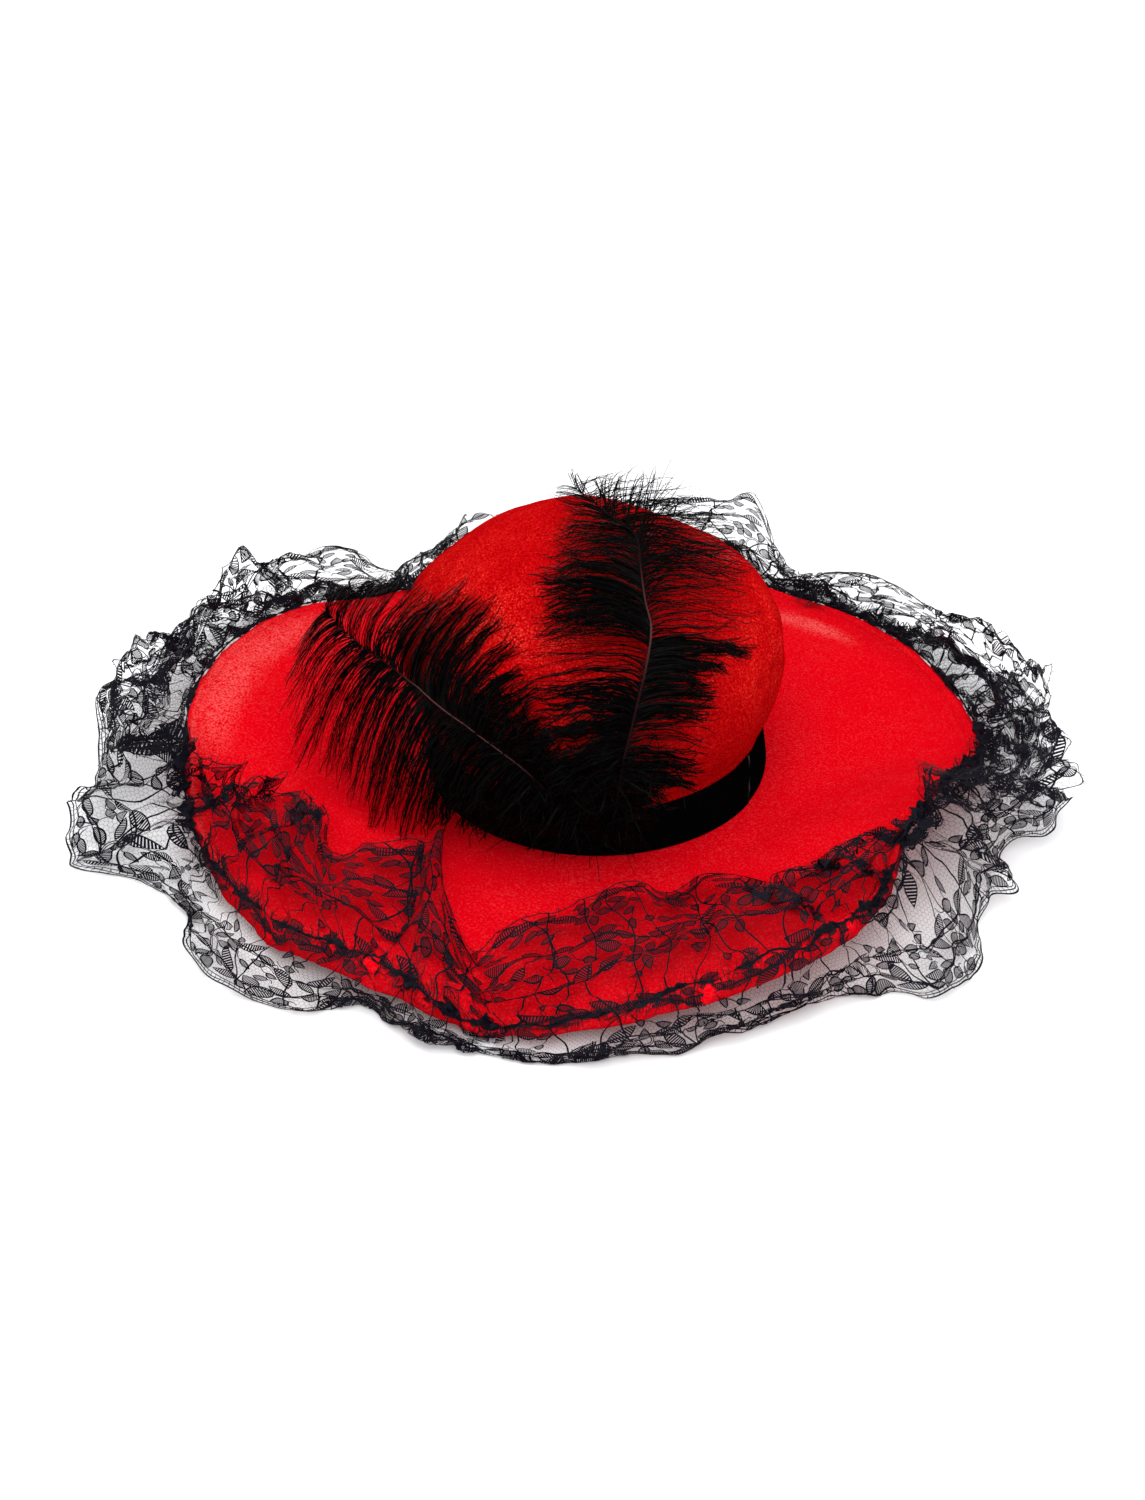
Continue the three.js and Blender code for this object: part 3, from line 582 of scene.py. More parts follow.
# the tone ramp's light end is the painted highlight along the lapped end's edge
M_BAND = thread("band_velvet", (0.0004, 0.0004, 0.0005), (0.0016, 0.0014, 0.0016), 0.9, 0.0,
                spec=0.0, scale=1600, tone_colours=[(0.0, (0.001, 0.001, 0.001)), (1.0, (0.06, 0.05, 0.06))])
M_LACE = thread("lace", (0.0015, 0.0012, 0.003), (0.006, 0.005, 0.010), 0.6, 0.0, spec=0.07)
# the tone ramp colours the quill: its own tan, partly a painted highlight
M_PLUME = thread("feather", (0.0003, 0.0002, 0.0002), (0.0012, 0.0007, 0.0007), 0.34, 0.0, spec=0.022, scale=500,
                 tone_colours=[(0.0, (0.002, 0.001, 0.001)), (0.35, (0.012, 0.003, 0.004)),
                               (0.7, (0.10, 0.035, 0.030)), (1.0, (0.32, 0.16, 0.11))])
M_STITCH = thread("stitch", (0.06, 0.02, 0.02), (0.26, 0.13, 0.12), 0.7, 0.0, spec=0.05, scale=2500)


# ------------------------------------------------------------------ crown
crown_r = curve(col(CROWN, 0), col(CROWN, 1))


def crown_lean(h):
    return LEAN_X * np.clip((h - 34) / 113, 0, 1)


def crown_dent(az, h):
    d = 0.0
    for a, hh, ha, hhh, depth in CROWN_FOLDS:
        d = d + depth * bell(wrap(az - a) / ha) * bell((h - hh) / hhh)
    return d


def crown_point(az, h, inset=0.0):
    e = 0.5
    lo, hi = np.clip(h - e, 0, CROWN_H), np.clip(h + e, 0, CROWN_H)
    nr, nh = hi - lo, -(crown_r(hi) - crown_r(lo))
    n = np.hypot(nr, nh)
    nr, nh = nr / n, nh / n
    nr, nh = np.where(h <= 0, 1.0, nr), np.where(h <= 0, 0.0, nh)
    i = inset + crown_dent(az, h)
    r = np.maximum(0, crown_r(h) - i * nr)
    a = np.radians(az)
    return np.stack([
        crown_lean(h) + r * np.cos(a), r * np.sin(a), BASE_Z + 0.3 + h - i * nh
    ], -1)


def crown_rows(n):
    """Heights spaced evenly along the profile."""
    h = np.concatenate([np.linspace(0, 140, 400), 147 - 7 * np.linspace(1, 0, 200)[1:] ** 2])
    s = np.concatenate([[0], np.cumsum(np.hypot(np.diff(h), np.diff(crown_r(h))))])
    return np.interp(np.linspace(0, s[-1], n), s, h)


def build_crown():
    heap = Heap()
    nu, nv = 256, 112
    az = np.arange(nu) * 360.0 / nu
    h = crown_rows(nv)[:-1]
    A, H = np.meshgrid(az, h, indexing="ij")
    P = crown_point(A, H)
    fade = ease(H / 30)
    # long soft folds of the cover, slanting over the dome, and small crushes
    fine = 0.28 * waves(P, 46, 3) + 0.12 * waves(P, 15, 4)
    fine = fine - 0.3 * np.abs(waves(P * np.array([1, 1, 0.6]), 60, 5))
    # crease just inside the right outline, and a ridge round the tip's shoulder
    at = np.interp(H, [60, 70, 80, 94, 103, 111, 119, 128, 134, 139, 143],
                   [-20, -17, -14, -12, -7, 2, 10, 14, 19, 25, 37])
    line = wrap(A - at) * np.clip(crown_r(H) / 100, 0.3, 1)
    crease = -1.3 * np.exp(-(line / 1.9) ** 2) * bell((H - 98) / 52)
    crease += 0.9 * np.exp(-((line - 4.5) / 3.2) ** 2) * bell((H - 98) / 50)
    puck = 0.35 * creases(P, 16, 6) * bell(wrap(A + 20) / 26) * bell((H - 84) / 34)
    disp = fade * (np.clip(fine, -1.4, 0.6) + puck) + crease
    P = crown_point(A, H, -disp)
    # painted sheen: crushed pile and the crescent of light, stored in the tone attribute to lighten the base colour
    sheen_paint = np.zeros_like(A)
    for a, hh, ha, hhh, k in CROWN_PAINTED_SHEEN:
        sheen_paint += k * bell(wrap(A - a) / ha) * bell((H - hh) / hhh)
    sheen_paint *= np.clip(0.75 + 0.5 * waves(P, 22, 8), 0.1, 1.4)
    uv = np.stack([A / 360 * 0.96 + 0.02, H / CROWN_H * 0.60 + 0.38], -1)
    ring_grid(heap, P, uv=uv, tone=np.clip(sheen_paint, 0, 1))
    # tip
    n0 = heap.n
    top = crown_point(np.array([0.0]), np.array([CROWN_H]))[0]
    top[0] = crown_lean(CROWN_H)
    top[2] = P[:, -1, 2].mean() + 0.25
    last = np.arange(nu) * (nv - 1) + nv - 2
    heap.add([top], t=None, uv=[[0.5, 0.99]])
    heap.t.append(np.stack([last, np.roll(last, -1), np.full(nu, n0)], -1))
    # inside, coarser
    ni, nr = 128, 48
    az = np.arange(ni) * 360.0 / ni
    hi = crown_rows(nr)[:-1]
    A, H = np.meshgrid(az, hi, indexing="ij")
    Q = crown_point(A, H, CROWN_WALL + 0.35)
    n1 = heap.n
    ring_grid(heap, Q, flip=True, uv=np.stack([A / 360 * 0.96 + 0.02, H / CROWN_H * 0.34 + 0.01], -1))
    n2 = heap.n
    heap.add([[crown_lean(CROWN_H), 0, BASE_Z + 0.3 + CROWN_H - CROWN_WALL - 0.4]], uv=[[0.5, 0.36]])
    last = n1 + np.arange(ni) * (nr - 1) + nr - 2
    heap.t.append(np.stack([np.roll(last, -1), last, np.full(ni, n2)], -1))
    # foot: outer ring of 256 joined to inner ring of 128
    o = np.arange(nu) * (nv - 1)
    i = n1 + np.arange(ni) * (nr - 1)
    o2, on = o[0::2], o[1::2]
    o3 = np.roll(o2, -1)
    inn = np.roll(i, -1)
    heap.t.append(np.concatenate([
        np.stack([on, o2, i], -1), np.stack([o3, on, i], -1), np.stack([o3, i, inn], -1)]))
    return heap.make("velvet_crown", M_CROWN, smooth=True)


# ------------------------------------------------------------------ brim
edge_r = curve(col(BRIM_EDGE, 0), col(BRIM_EDGE, 1), True)
edge_z = curve(col(BRIM_EDGE, 0), col(BRIM_EDGE, 2), True)
turn_out = curve(col(BRIM_TURN, 0), col(BRIM_TURN, 1), True)
turn_drop = curve(col(BRIM_TURN, 0), col(BRIM_TURN, 2), True)


def back_turn(az):
    """How far the edge is bent down at the back left."""
    return 3.2 * bell(wrap(az - 148) / 36)


def brim_top(r, az):
    re = edge_r(az)
    u = np.clip((r - FLAT_R) / (re - FLAT_R), 0, 1.05)
    z = BASE_Z + (edge_z(az) - BASE_Z) * u ** 1.8
    for a, uu, ha, hu, lift in BRIM_FOLDS:
        z = z + lift * bell(wrap(az - a) / ha) * bell((u - uu) / hu)
    return z


def brim_fine(r, az):
    """Height of the upper face's detail over its main form."""
    re = edge_r(az)
    e = re - r
    p = polar(az, r, 0 * r)
    out = ease((r - FLAT_R) / 20) * (0.35 * waves(p[..., :2], 58, 21) + 0.10 * waves(p[..., :2], 20, 22))
    # wire in the hem, the stitched line inside it, puckers across both
    out = out + 1.2 * np.exp(-((e - 2.6) / 1.5) ** 2) - 0.9 * np.exp(-((e - 5.6) / 1.2) ** 2)
    puck = np.sin(np.radians(az) * 150 + 1.3 * waves(p[..., :2], 40, 23))
    out = out + 0.22 * puck * np.exp(-((e - 6.5) / 4.5) ** 2)
    # turned edge at the back left
    out = out - back_turn(az) * ease((9.5 - e) / 9.5)
    for a, rr, half, depth in BRIM_DIMPLES:
        d = np.linalg.norm(p[..., :2] - polar(np.array(float(a)), np.array(float(rr)), 0.0)[:2], axis=-1)
        out = out - depth * np.exp(-(d / half) ** 2) + 0.5 * depth * np.exp(-((d - 1.5 * half) / (0.7 * half)) ** 2)
    return out


def build_brim():
    heap = Heap()
    nu = 288
    az = np.arange(nu) * 360.0 / nu
    s_top = np.concatenate([np.linspace(0, 0.86, 40), np.linspace(0.86, 1, 22)[1:]])
    s_low = np.concatenate([np.linspace(1, 0.86, 8), np.linspace(0.86, 0, 18)[1:]])
    re = edge_r(az)[:, None]
    wob = 0.5 * waves(polar(az, 220 + 0 * az, 0 * az)[..., :2], 24, 31)[:, None]
    wob = wob + 0.35 * np.sin(np.radians(az) * 150)[:, None]

    def radius(s):
        return HEAD_R + (re + wob * s ** 20 - HEAD_R) * s

    R, A = radius(s_top[None]), np.broadcast_to(az[:, None], (nu, len(s_top)))
    ztop = brim_top(R, A) + brim_fine(R, A) * ease((R - 100) / 8)
    top = polar(A, R, 0 * R)
    top[..., 2] = ztop
    RL, AL = radius(s_low[None]), np.broadcast_to(az[:, None], (nu, len(s_low)))
    zlow = brim_top(RL, AL) - BRIM_WALL + ease((RL - 100) / 8) * (
        0.30 * brim_fine(RL, AL)) - 0.5 * np.exp(-((re - RL - 2.6) / 1.6) ** 2)
    low = polar(AL, RL, 0 * RL)
    low[..., 2] = zlow
    # the edge turns down: a quarter ellipse outside, its wall inside, a
    # rounded foot between them
    k = 12
    ang = np.linspace(0, math.pi / 2, k + 1)[1:]
    az_k = np.broadcast_to(az[:, None], (nu, k))
    to, td = turn_out(az)[:, None], turn_drop(az)[:, None]
    zt, rt = top[:, -1, 2][:, None], (re + wob)
    soft = 0.35 * waves(polar(az_k, 220 + 20 * ang[None] + 0 * az_k, 0 * az_k)[..., :2], 16, 33)
    face = polar(az_k, rt + to * np.sin(ang)[None] + soft * 0.4 * np.sin(ang)[None], 0 * az_k)
    face[..., 2] = zt - td * (1 - np.cos(ang))[None]
    foot_a = np.linspace(0, math.pi, 5)[1:-1]
    foot = polar(np.broadcast_to(az[:, None], (nu, 3)), rt + to - 1.1 + 1.1 * np.cos(foot_a)[None], 0 * foot_a[None] + 0 * re)
    foot[..., 2] = zt - td - 1.1 * np.sin(foot_a)[None]
    back = polar(az_k, rt + (to - 2.2) * np.sin(ang[::-1])[None], 0 * az_k)
    back[..., 2] = zt - BRIM_WALL - (td - BRIM_WALL) * (1 - np.cos(ang[::-1]))[None]
    rim = np.concatenate([face, foot, back], 1)
    grid = np.concatenate([top, rim, low], 1)
    # painted sheen: lighter patches of pile, stored in the tone attribute to lighten the base colour
    sheen_paint = np.zeros((nu, grid.shape[1]))
    for a, rr, ha, hr, kk in BRIM_PAINTED_SHEEN:
        sheen_paint[:, : len(s_top)] += kk * bell(wrap(A - a) / ha) * bell((R - rr) / hr)
    # painted highlight: a line along the hem where the pile catches the light
    sheen_paint[:, : len(s_top)] += 0.35 * np.exp(-((re - R - 3.4) / 1.6) ** 2) * bell(wrap(A - 190) / 60)
    sheen_paint = np.clip(sheen_paint, 0, 1)
    rr = np.hypot(grid[..., 0], grid[..., 1]) / 480.0
    side = np.concatenate([np.zeros(len(s_top) + k + 1), np.ones(2 + k + len(s_low))])[None]
    aa = np.radians(az)[:, None]
    uv = np.stack([0.25 + 0.5 * side + rr * 0.5 * np.cos(aa), 0.5 + rr * 0.5 * np.sin(aa) + 0 * side], -1)
    idx = np.arange(grid.shape[0] * grid.shape[1]).reshape(grid.shape[:2])
    idx = np.vstack([idx, idx[:1]])
    idx = np.hstack([idx, idx[:, :1]])
    q = np.stack([idx[:-1, :-1], idx[:-1, 1:], idx[1:, 1:], idx[1:, :-1]], -1).reshape(-1, 4)
    heap.add(grid.reshape(-1, 3), q=q, uv=uv.reshape(-1, 2), tone=sheen_paint.reshape(-1))
    return heap.make("velvet_brim", M_BRIM, smooth=True)


# ------------------------------------------------------------------ band
LAP_AZ = -27.0


def build_band():
    heap = Heap()
    nu = 360
    az = np.arange(nu) * 360.0 / nu
    z0 = BASE_Z + GAP + 0.1
    n = 16
    hz = np.linspace(0, 1, n)
    A, S = np.meshgrid(az, hz, indexing="ij")
    lean = LAP_AZ + 3.5 * (S - 0.5)
    # the ribbon's end lies over its start
    over = 0.55 * ease((wrap(A - lean) + 40) / 34) * (wrap(A - lean) < 0)
    over = over + 0.10 * waves(polar(A, 95 + 0 * A, S * BAND_H), 26, 41) * ease(S * (1 - S) * 6)
    bulge = 0.25 * np.sin(math.pi * S)
    foot = crown_r(S * BAND_H) + GAP
    ro = foot + BAND_WALL + over + bulge - 0.35 * (np.exp(-(S / 0.03) ** 2) + np.exp(-((1 - S) / 0.03) ** 2))
    wave = 0.22 * waves(polar(A, 95 + 0 * A, 0 * A), 30, 42) * S
    z = z0 + S * BAND_H + wave
    outer = polar(A, ro, 0 * ro)
    outer[..., 2] = z
    inner = polar(A[:, ::-1], foot[:, ::-1] + 0.05, 0 * ro)
    inner[..., 2] = z[:, ::-1]
    grid = np.concatenate([outer, inner], 1)
    tone = np.zeros(grid.shape[:2])
    # painted highlight: a light line along the lapped end's edge, in the tone attribute
    edge = np.exp(-((wrap(A - lean) + 0.55) / 0.45) ** 2) * (wrap(A - lean) < 0.3)
    tone[:, :n] = 0.95 * edge * np.clip(0.6 + 0.5 * waves(outer, 9, 43), 0, 1)
    idx = np.arange(grid.shape[0] * grid.shape[1]).reshape(grid.shape[:2])
    idx = np.vstack([idx, idx[:1]])
    idx = np.hstack([idx, idx[:, :1]])
    q = np.stack([idx[:-1, :-1], idx[1:, :-1], idx[1:, 1:], idx[:-1, 1:]], -1).reshape(-1, 4)
    uv = np.stack([np.repeat(az[:, None] / 360, 2 * n, 1),
                   np.broadcast_to(np.linspace(0, 1, 2 * n), (nu, 2 * n))], -1)
    heap.add(grid.reshape(-1, 3), q=q, uv=uv.reshape(-1, 2), tone=tone.reshape(-1))
    return heap.make("velvet_band", M_BAND, smooth=True)


# ------------------------------------------------------------------ lace: the cloth's form
in_az = curve(col(LACE_INNER, 0), col(LACE_INNER, 1) - col(LACE_INNER, 0), True)
in_r = curve(col(LACE_INNER, 0), col(LACE_INNER, 2), True)
in_z = curve(col(LACE_INNER, 0), col(LACE_INNER, 3), True)
in_rise = curve(col(LACE_INNER, 0), col(LACE_INNER, 4), True)
out_r = curve(col(LACE_OUTER, 0), col(LACE_OUTER, 1), True)
out_z = curve(col(LACE_OUTER, 0), col(LACE_OUTER, 2), True)
out_tr = curve(col(LACE_OUTER, 0), col(LACE_OUTER, 3), True)
out_tz = curve(col(LACE_OUTER, 0), col(LACE_OUTER, 4), True)
fullness = curve(col(LACE_FULLNESS, 0), col(LACE_FULLNESS, 1), True)


def lace_base(at, t):
    """The ruffle's main form: t is 0 at the inner free edge, 1 on the
    gathering line, 2 at the outer edge."""
    g = polar(at, edge_r(at) + 2.0, edge_z(at) + 0.9 - back_turn(at))
    tip = polar(at + in_az(at), in_r(at), in_z(at))
    c = g + 0.35 * (tip - g)
    c[..., 2] = g[..., 2] + in_rise(at)
    s = np.clip(1 - t, 0, 1)[..., None]
    inner = (1 - s) ** 2 * g + 2 * s * (1 - s) * c + s * s * tip
    tip = polar(at, out_r(at), out_z(at))
    c = polar(at, out_tr(at), out_tz(at))
    s = np.clip(t - 1, 0, 1)[..., None]
    outer = (1 - s) ** 2 * g + 2 * s * (1 - s) * c + s * s * tip
    return np.where((t <= 1)[..., None], inner, outer)


def keep_clear(p, v):
    """Above the brim inside the gathering line, under it outside, over the
    table everywhere."""
    r, az = np.hypot(p[..., 0], p[..., 1]), np.degrees(np.arctan2(p[..., 1], p[..., 0]))
    re = edge_r(az)
    top = brim_top(np.minimum(r, re), az)
    over = ease((re + 3.5 - r) / 3.0)
    inner = v <= GATHER_V
    floor_in = np.where(over > 0, top + 1.1, -99)
    z = p[..., 2]
    soft = np.where(z < floor_in + 2, floor_in + 2 * np.exp((z - floor_in - 2) / 2.5), z)
    z_in = np.where(inner & (over > 0), z + over * (np.maximum(soft, z) - z), z)
    # the outer leaf hangs outside the turned-down edge, and farther on it
    # stays below it
    dist = v - GATHER_V
    to, td = turn_out(az), turn_drop(az)
    down = np.clip((top - z) / td, 0, 1)
    face = re + to * np.sqrt(1 - (1 - down) ** 2) + 0.9
    hit = (~inner) & (dist < 36) & (r < face) & (z < top + 0.8) & (z > top - td - 2.5)
    scale = np.where(hit, face / np.maximum(r, 1), 1.0)
    roof = top - BRIM_WALL - 1.0 - td * ease((r - re + 4) / 4)
    under = (~inner) & (dist >= 36) & (r < re + to + 0.8)
    z_out = np.where(under, np.minimum(z_in, roof), z_in)
    low = TABLE_Z + 0.35
    z_fin = np.where(z_out < low + 1.25, low + 1.25 * np.exp((z_out - low - 1.25) / 1.25), z_out)
    q = p.copy()
    q[..., 0] *= scale
    q[..., 1] *= scale
    q[..., 2] = z_fin
    return q


def signal(u, size, seed, wander=1.25):
    """An uneven ripple along the ribbon, closed on itself."""
    g = np.random.default_rng(seed)
    n = round(RIB_L / size)
    ph = 2 * math.pi * n * u / RIB_L
    for _ in range(10):
        m = g.integers(max(2, n // 12), max(4, n // 3))
        ph = ph + wander * 0.45 * np.sin(2 * math.pi * m * u / RIB_L + g.random() * 6.283)
    return np.sin(ph)


DU, DV = 1.0, 2.0
NU, NV = int(RIB_L / DU), int(RIB_W / DV) + 1


def lace_cloth():
    """Places and normals of the ribbon's points, on a grid along and across."""
    deg = np.arange(0, 360.01, 0.25)
    rate = fullness(deg)
    bunch = 0 * deg
    for a, half, k in LACE_BUNCHES:
        b = bell(wrap(deg - a) / (half + 3))
        rate = rate + 0.55 * k * b
        bunch = np.maximum(bunch, min(1, k / 3.5) * b)
    cum = np.concatenate([[0], np.cumsum((rate[1:] + rate[:-1]) / 2 * 0.25)])
    cum *= RIB_L / cum[-1]
    u = np.arange(NU) * DU
    at0 = np.interp(u, cum, deg)
    v = np.arange(NV) * DV
    AT = np.broadcast_to(at0[:, None], (NU, NV))
    V = np.broadcast_to(v[None], (NU, NV))
    U = np.broadcast_to(u[:, None], (NU, NV))
    T = np.where(V <= GATHER_V, V / GATHER_V, 1 + (V - GATHER_V) / (RIB_W - GATHER_V))
    base = lace_base(AT, T)
    arc = np.linalg.norm(lace_base(AT + 0.4, T) - lace_base(AT - 0.4, T), axis=-1) / 0.8
    # even the arc out so that single steep spots don't spread the folds
    k = np.hanning(41)
    k /= k.sum()
    arc = np.apply_along_axis(lambda a: np.convolve(np.concatenate([a[-20:], a, a[:20]]), k, "valid"), 0, arc)
    per_u = np.gradient(np.unwrap(np.radians(at0))) * 180 / math.pi / DU
    rho = np.clip(arc * per_u[:, None], 0.38, 0.985)
    amp = np.minimum(2 * np.sqrt(-np.log(rho)), 1.75)
    dist = np.abs(V - GATHER_V)
    front = ease((78 - np.abs(wrap(AT - 264))) / 24)
    lying = front * (V < GATHER_V) * ease((dist - 4) / 16)
    crowd = np.interp(np.mod(AT, 360), deg, bunch)
    amp = amp * (1 - 0.72 * lying * (1 - crowd))
    hanging = (V > GATHER_V) * ease((dist - 5) / 14)
    amp = amp * (1 - hanging * (0.35 + 0.40 * front) * (1 - 0.8 * crowd * (1 - front)))
    lean = 0.35 * signal(u, 160, 51)[:, None]
    us = U + lean * (V - GATHER_V)
    ws = np.exp(-(dist / 8.5) ** 1.3)
    wm = (1 - np.exp(-dist / 9.0)) * np.exp(-(dist / 70.0) ** 2) * 0.9 + 0.12
    wb = ease((dist - 10) / 50)
    tot = np.sqrt(ws ** 2 + wm ** 2 + wb ** 2)
    theta = amp * (ws * signal(us, 12.5, 52) + wm * signal(us, 44, 53) + wb * signal(us, 115, 54)) / tot

    def low_pass(a, width):
        f = np.fft.rfft(a, axis=0)
        w = np.exp(-(np.arange(f.shape[0]) * width / RIB_L) ** 2)
        return np.fft.irfft(f * w[:, None], n=a.shape[0], axis=0)

    c = np.cos(theta)
    dx = c - low_pass(c, 130)
    x = np.cumsum(dx, 0) * DU
    x = x - low_pass(x, 160)
    nn = np.cumsum(np.sin(theta) - low_pass(np.sin(theta), 160), 0) * DU
    nn = nn - low_pass(nn, 170)
    # pleats that lie flat
    for at, root, lap, slant, bow, gap in LACE_PLEATS:
        up = np.interp(at, deg, cum)
        far = np.clip((GATHER_V - V) / GATHER_V, 0, 1)
        b = (root + (lap - root) * far) * ease((GATHER_V - V) / 8) + 0.01
        off = U - up - slant * (GATHER_V - V) - bow * np.sin(math.pi * far)
        off = np.mod(off + RIB_L / 2, RIB_L) - RIB_L / 2
        w = 1.6 + 0.12 * b
        box = 0.5 * (np.tanh((off + b / 2) / w) - np.tanh((off - b / 2) / w))
        spread = bell(off / 60.0)
        spread = spread / np.maximum(spread.sum(0), 1e-6) * box.sum(0)
        shift = np.cumsum((spread - box) * 2, 0) * DU * (V < GATHER_V)
        x = x + shift
        up_by = gap * (1 + np.tanh(off / (b / 3 + 1.2))) * np.exp(-np.maximum(0, off - b / 2) / 18)
        nn = nn + up_by * ease((GATHER_V - V) / 10) * (V < GATHER_V)
    at1 = AT + x / np.maximum(arc, 1.2)
    p = lace_base(at1, T)
    du = (np.roll(base, -1, 0) - np.roll(base, 1, 0))
    dv = np.gradient(base, axis=1)
    nrm = unit_of(np.cross(du, dv))
    # facing up and out
    nrm = nrm * np.where((nrm * np.array([0, 0, 1])).sum(-1, keepdims=True) < 0, -1.0, 1.0)
    nrm = unit_of(np.apply_along_axis(
        lambda a: np.convolve(np.concatenate([a[-20:], a, a[:20]]), k, "valid"), 0, nrm))
    # crumpling: facets across and along
    loose = (1 - 0.80 * lying) * ease((dist - 2) / 14)
    loose = loose * (1 - 0.55 * front) * (1 - 0.30 * hanging)
    edge_of = 2 * math.pi / RIB_L
    ring = np.stack([np.cos(U * edge_of) * RIB_L / 6.283, np.sin(U * edge_of) * RIB_L / 6.283, V], -1)
    crumple = 5.2 * creases(ring, 60, 61, 3) + 2.4 * creases(ring, 27, 62, 4) + 1.0 * creases(ring, 13, 64, 4)
    slide = 3.4 * creases(ring, 44, 63, 3)
    # across the ribbon its leaves are longer than the room they fill: the
    # rest is taken up in uneven folds along it, of this slope
    spare = np.sqrt(np.clip(1 - (np.linalg.norm(dv, axis=-1) / DV) ** 2, 0, 0.85))
    turn = 2 * math.pi * V / FOLD_PITCH + 2.4 * waves(ring, 90, 67)
    fold = FOLD_PITCH / 4 * FOLD_SHARE * spare * np.arcsin(0.985 * np.sin(turn)) * 0.64 * ease((dist - 2) / 8)
    dv_dir = unit_of(dv)
    tight = 1 - np.exp(-(dist / 8.0) ** 2) * 0.35
    p = p + nrm * (nn * tight + crumple * loose + fold)[..., None]
    p = p + dv_dir * (slide * loose)[..., None]
    p = keep_clear(p, V)
    du = (np.roll(p, -1, 0) - np.roll(p, 1, 0))
    dv = np.gradient(p, axis=1)
    n2 = unit_of(np.cross(du, dv))
    stretch = (np.linalg.norm(np.cross(du / (2 * DU), dv / DV), axis=-1)).mean()
    print("lace cloth: mean area share", round(float(stretch), 3))
    return p, n2, cum, deg


LACE_P, LACE_N, RIB_CUM, RIB_DEG = lace_cloth()


def on_lace(u, v, lift=0.0):
    fu = np.mod(u, RIB_L) / DU
    i0 = np.floor(fu).astype(int) % NU
    a = (fu - np.floor(fu))[..., None]
    i1 = (i0 + 1) % NU
    fv = np.clip(v / DV, 0, NV - 1 - 1e-6)
    j0 = np.floor(fv).astype(int)
    b = (fv - j0)[..., None]

    def mix(g):
        return ((1 - a) * ((1 - b) * g[i0, j0] + b * g[i0, j0 + 1])
                + a * ((1 - b) * g[i1, j0] + b * g[i1, j0 + 1]))

    p = mix(LACE_P)
    if np.ndim(lift) or lift:
        p = p + mix(LACE_N) * (np.asarray(lift)[..., None] if np.ndim(lift) else lift)
    return p


# ------------------------------------------------------------------ lace: the pattern
MASK_STEP = 0.5
MU, MV = int(UNIT / MASK_STEP), int(RIB_W / MASK_STEP)


def edge_in(u):
    """The scalloped inner free edge."""
    return 2.4 + 3.2 * np.abs(np.sin(math.pi * u / 25.0)) ** 0.7 + 1.5 * np.sin(2 * math.pi * u / 75.0)


def edge_out(u):
    return RIB_W - 1.2 - 1.2 * (0.5 + 0.5 * np.cos(2 * math.pi * u / 30.0))


def leaf_half(xi, width):
    return width / 2 * np.sin(math.pi * np.clip(xi, 0, 1) ** 0.82) ** 0.85


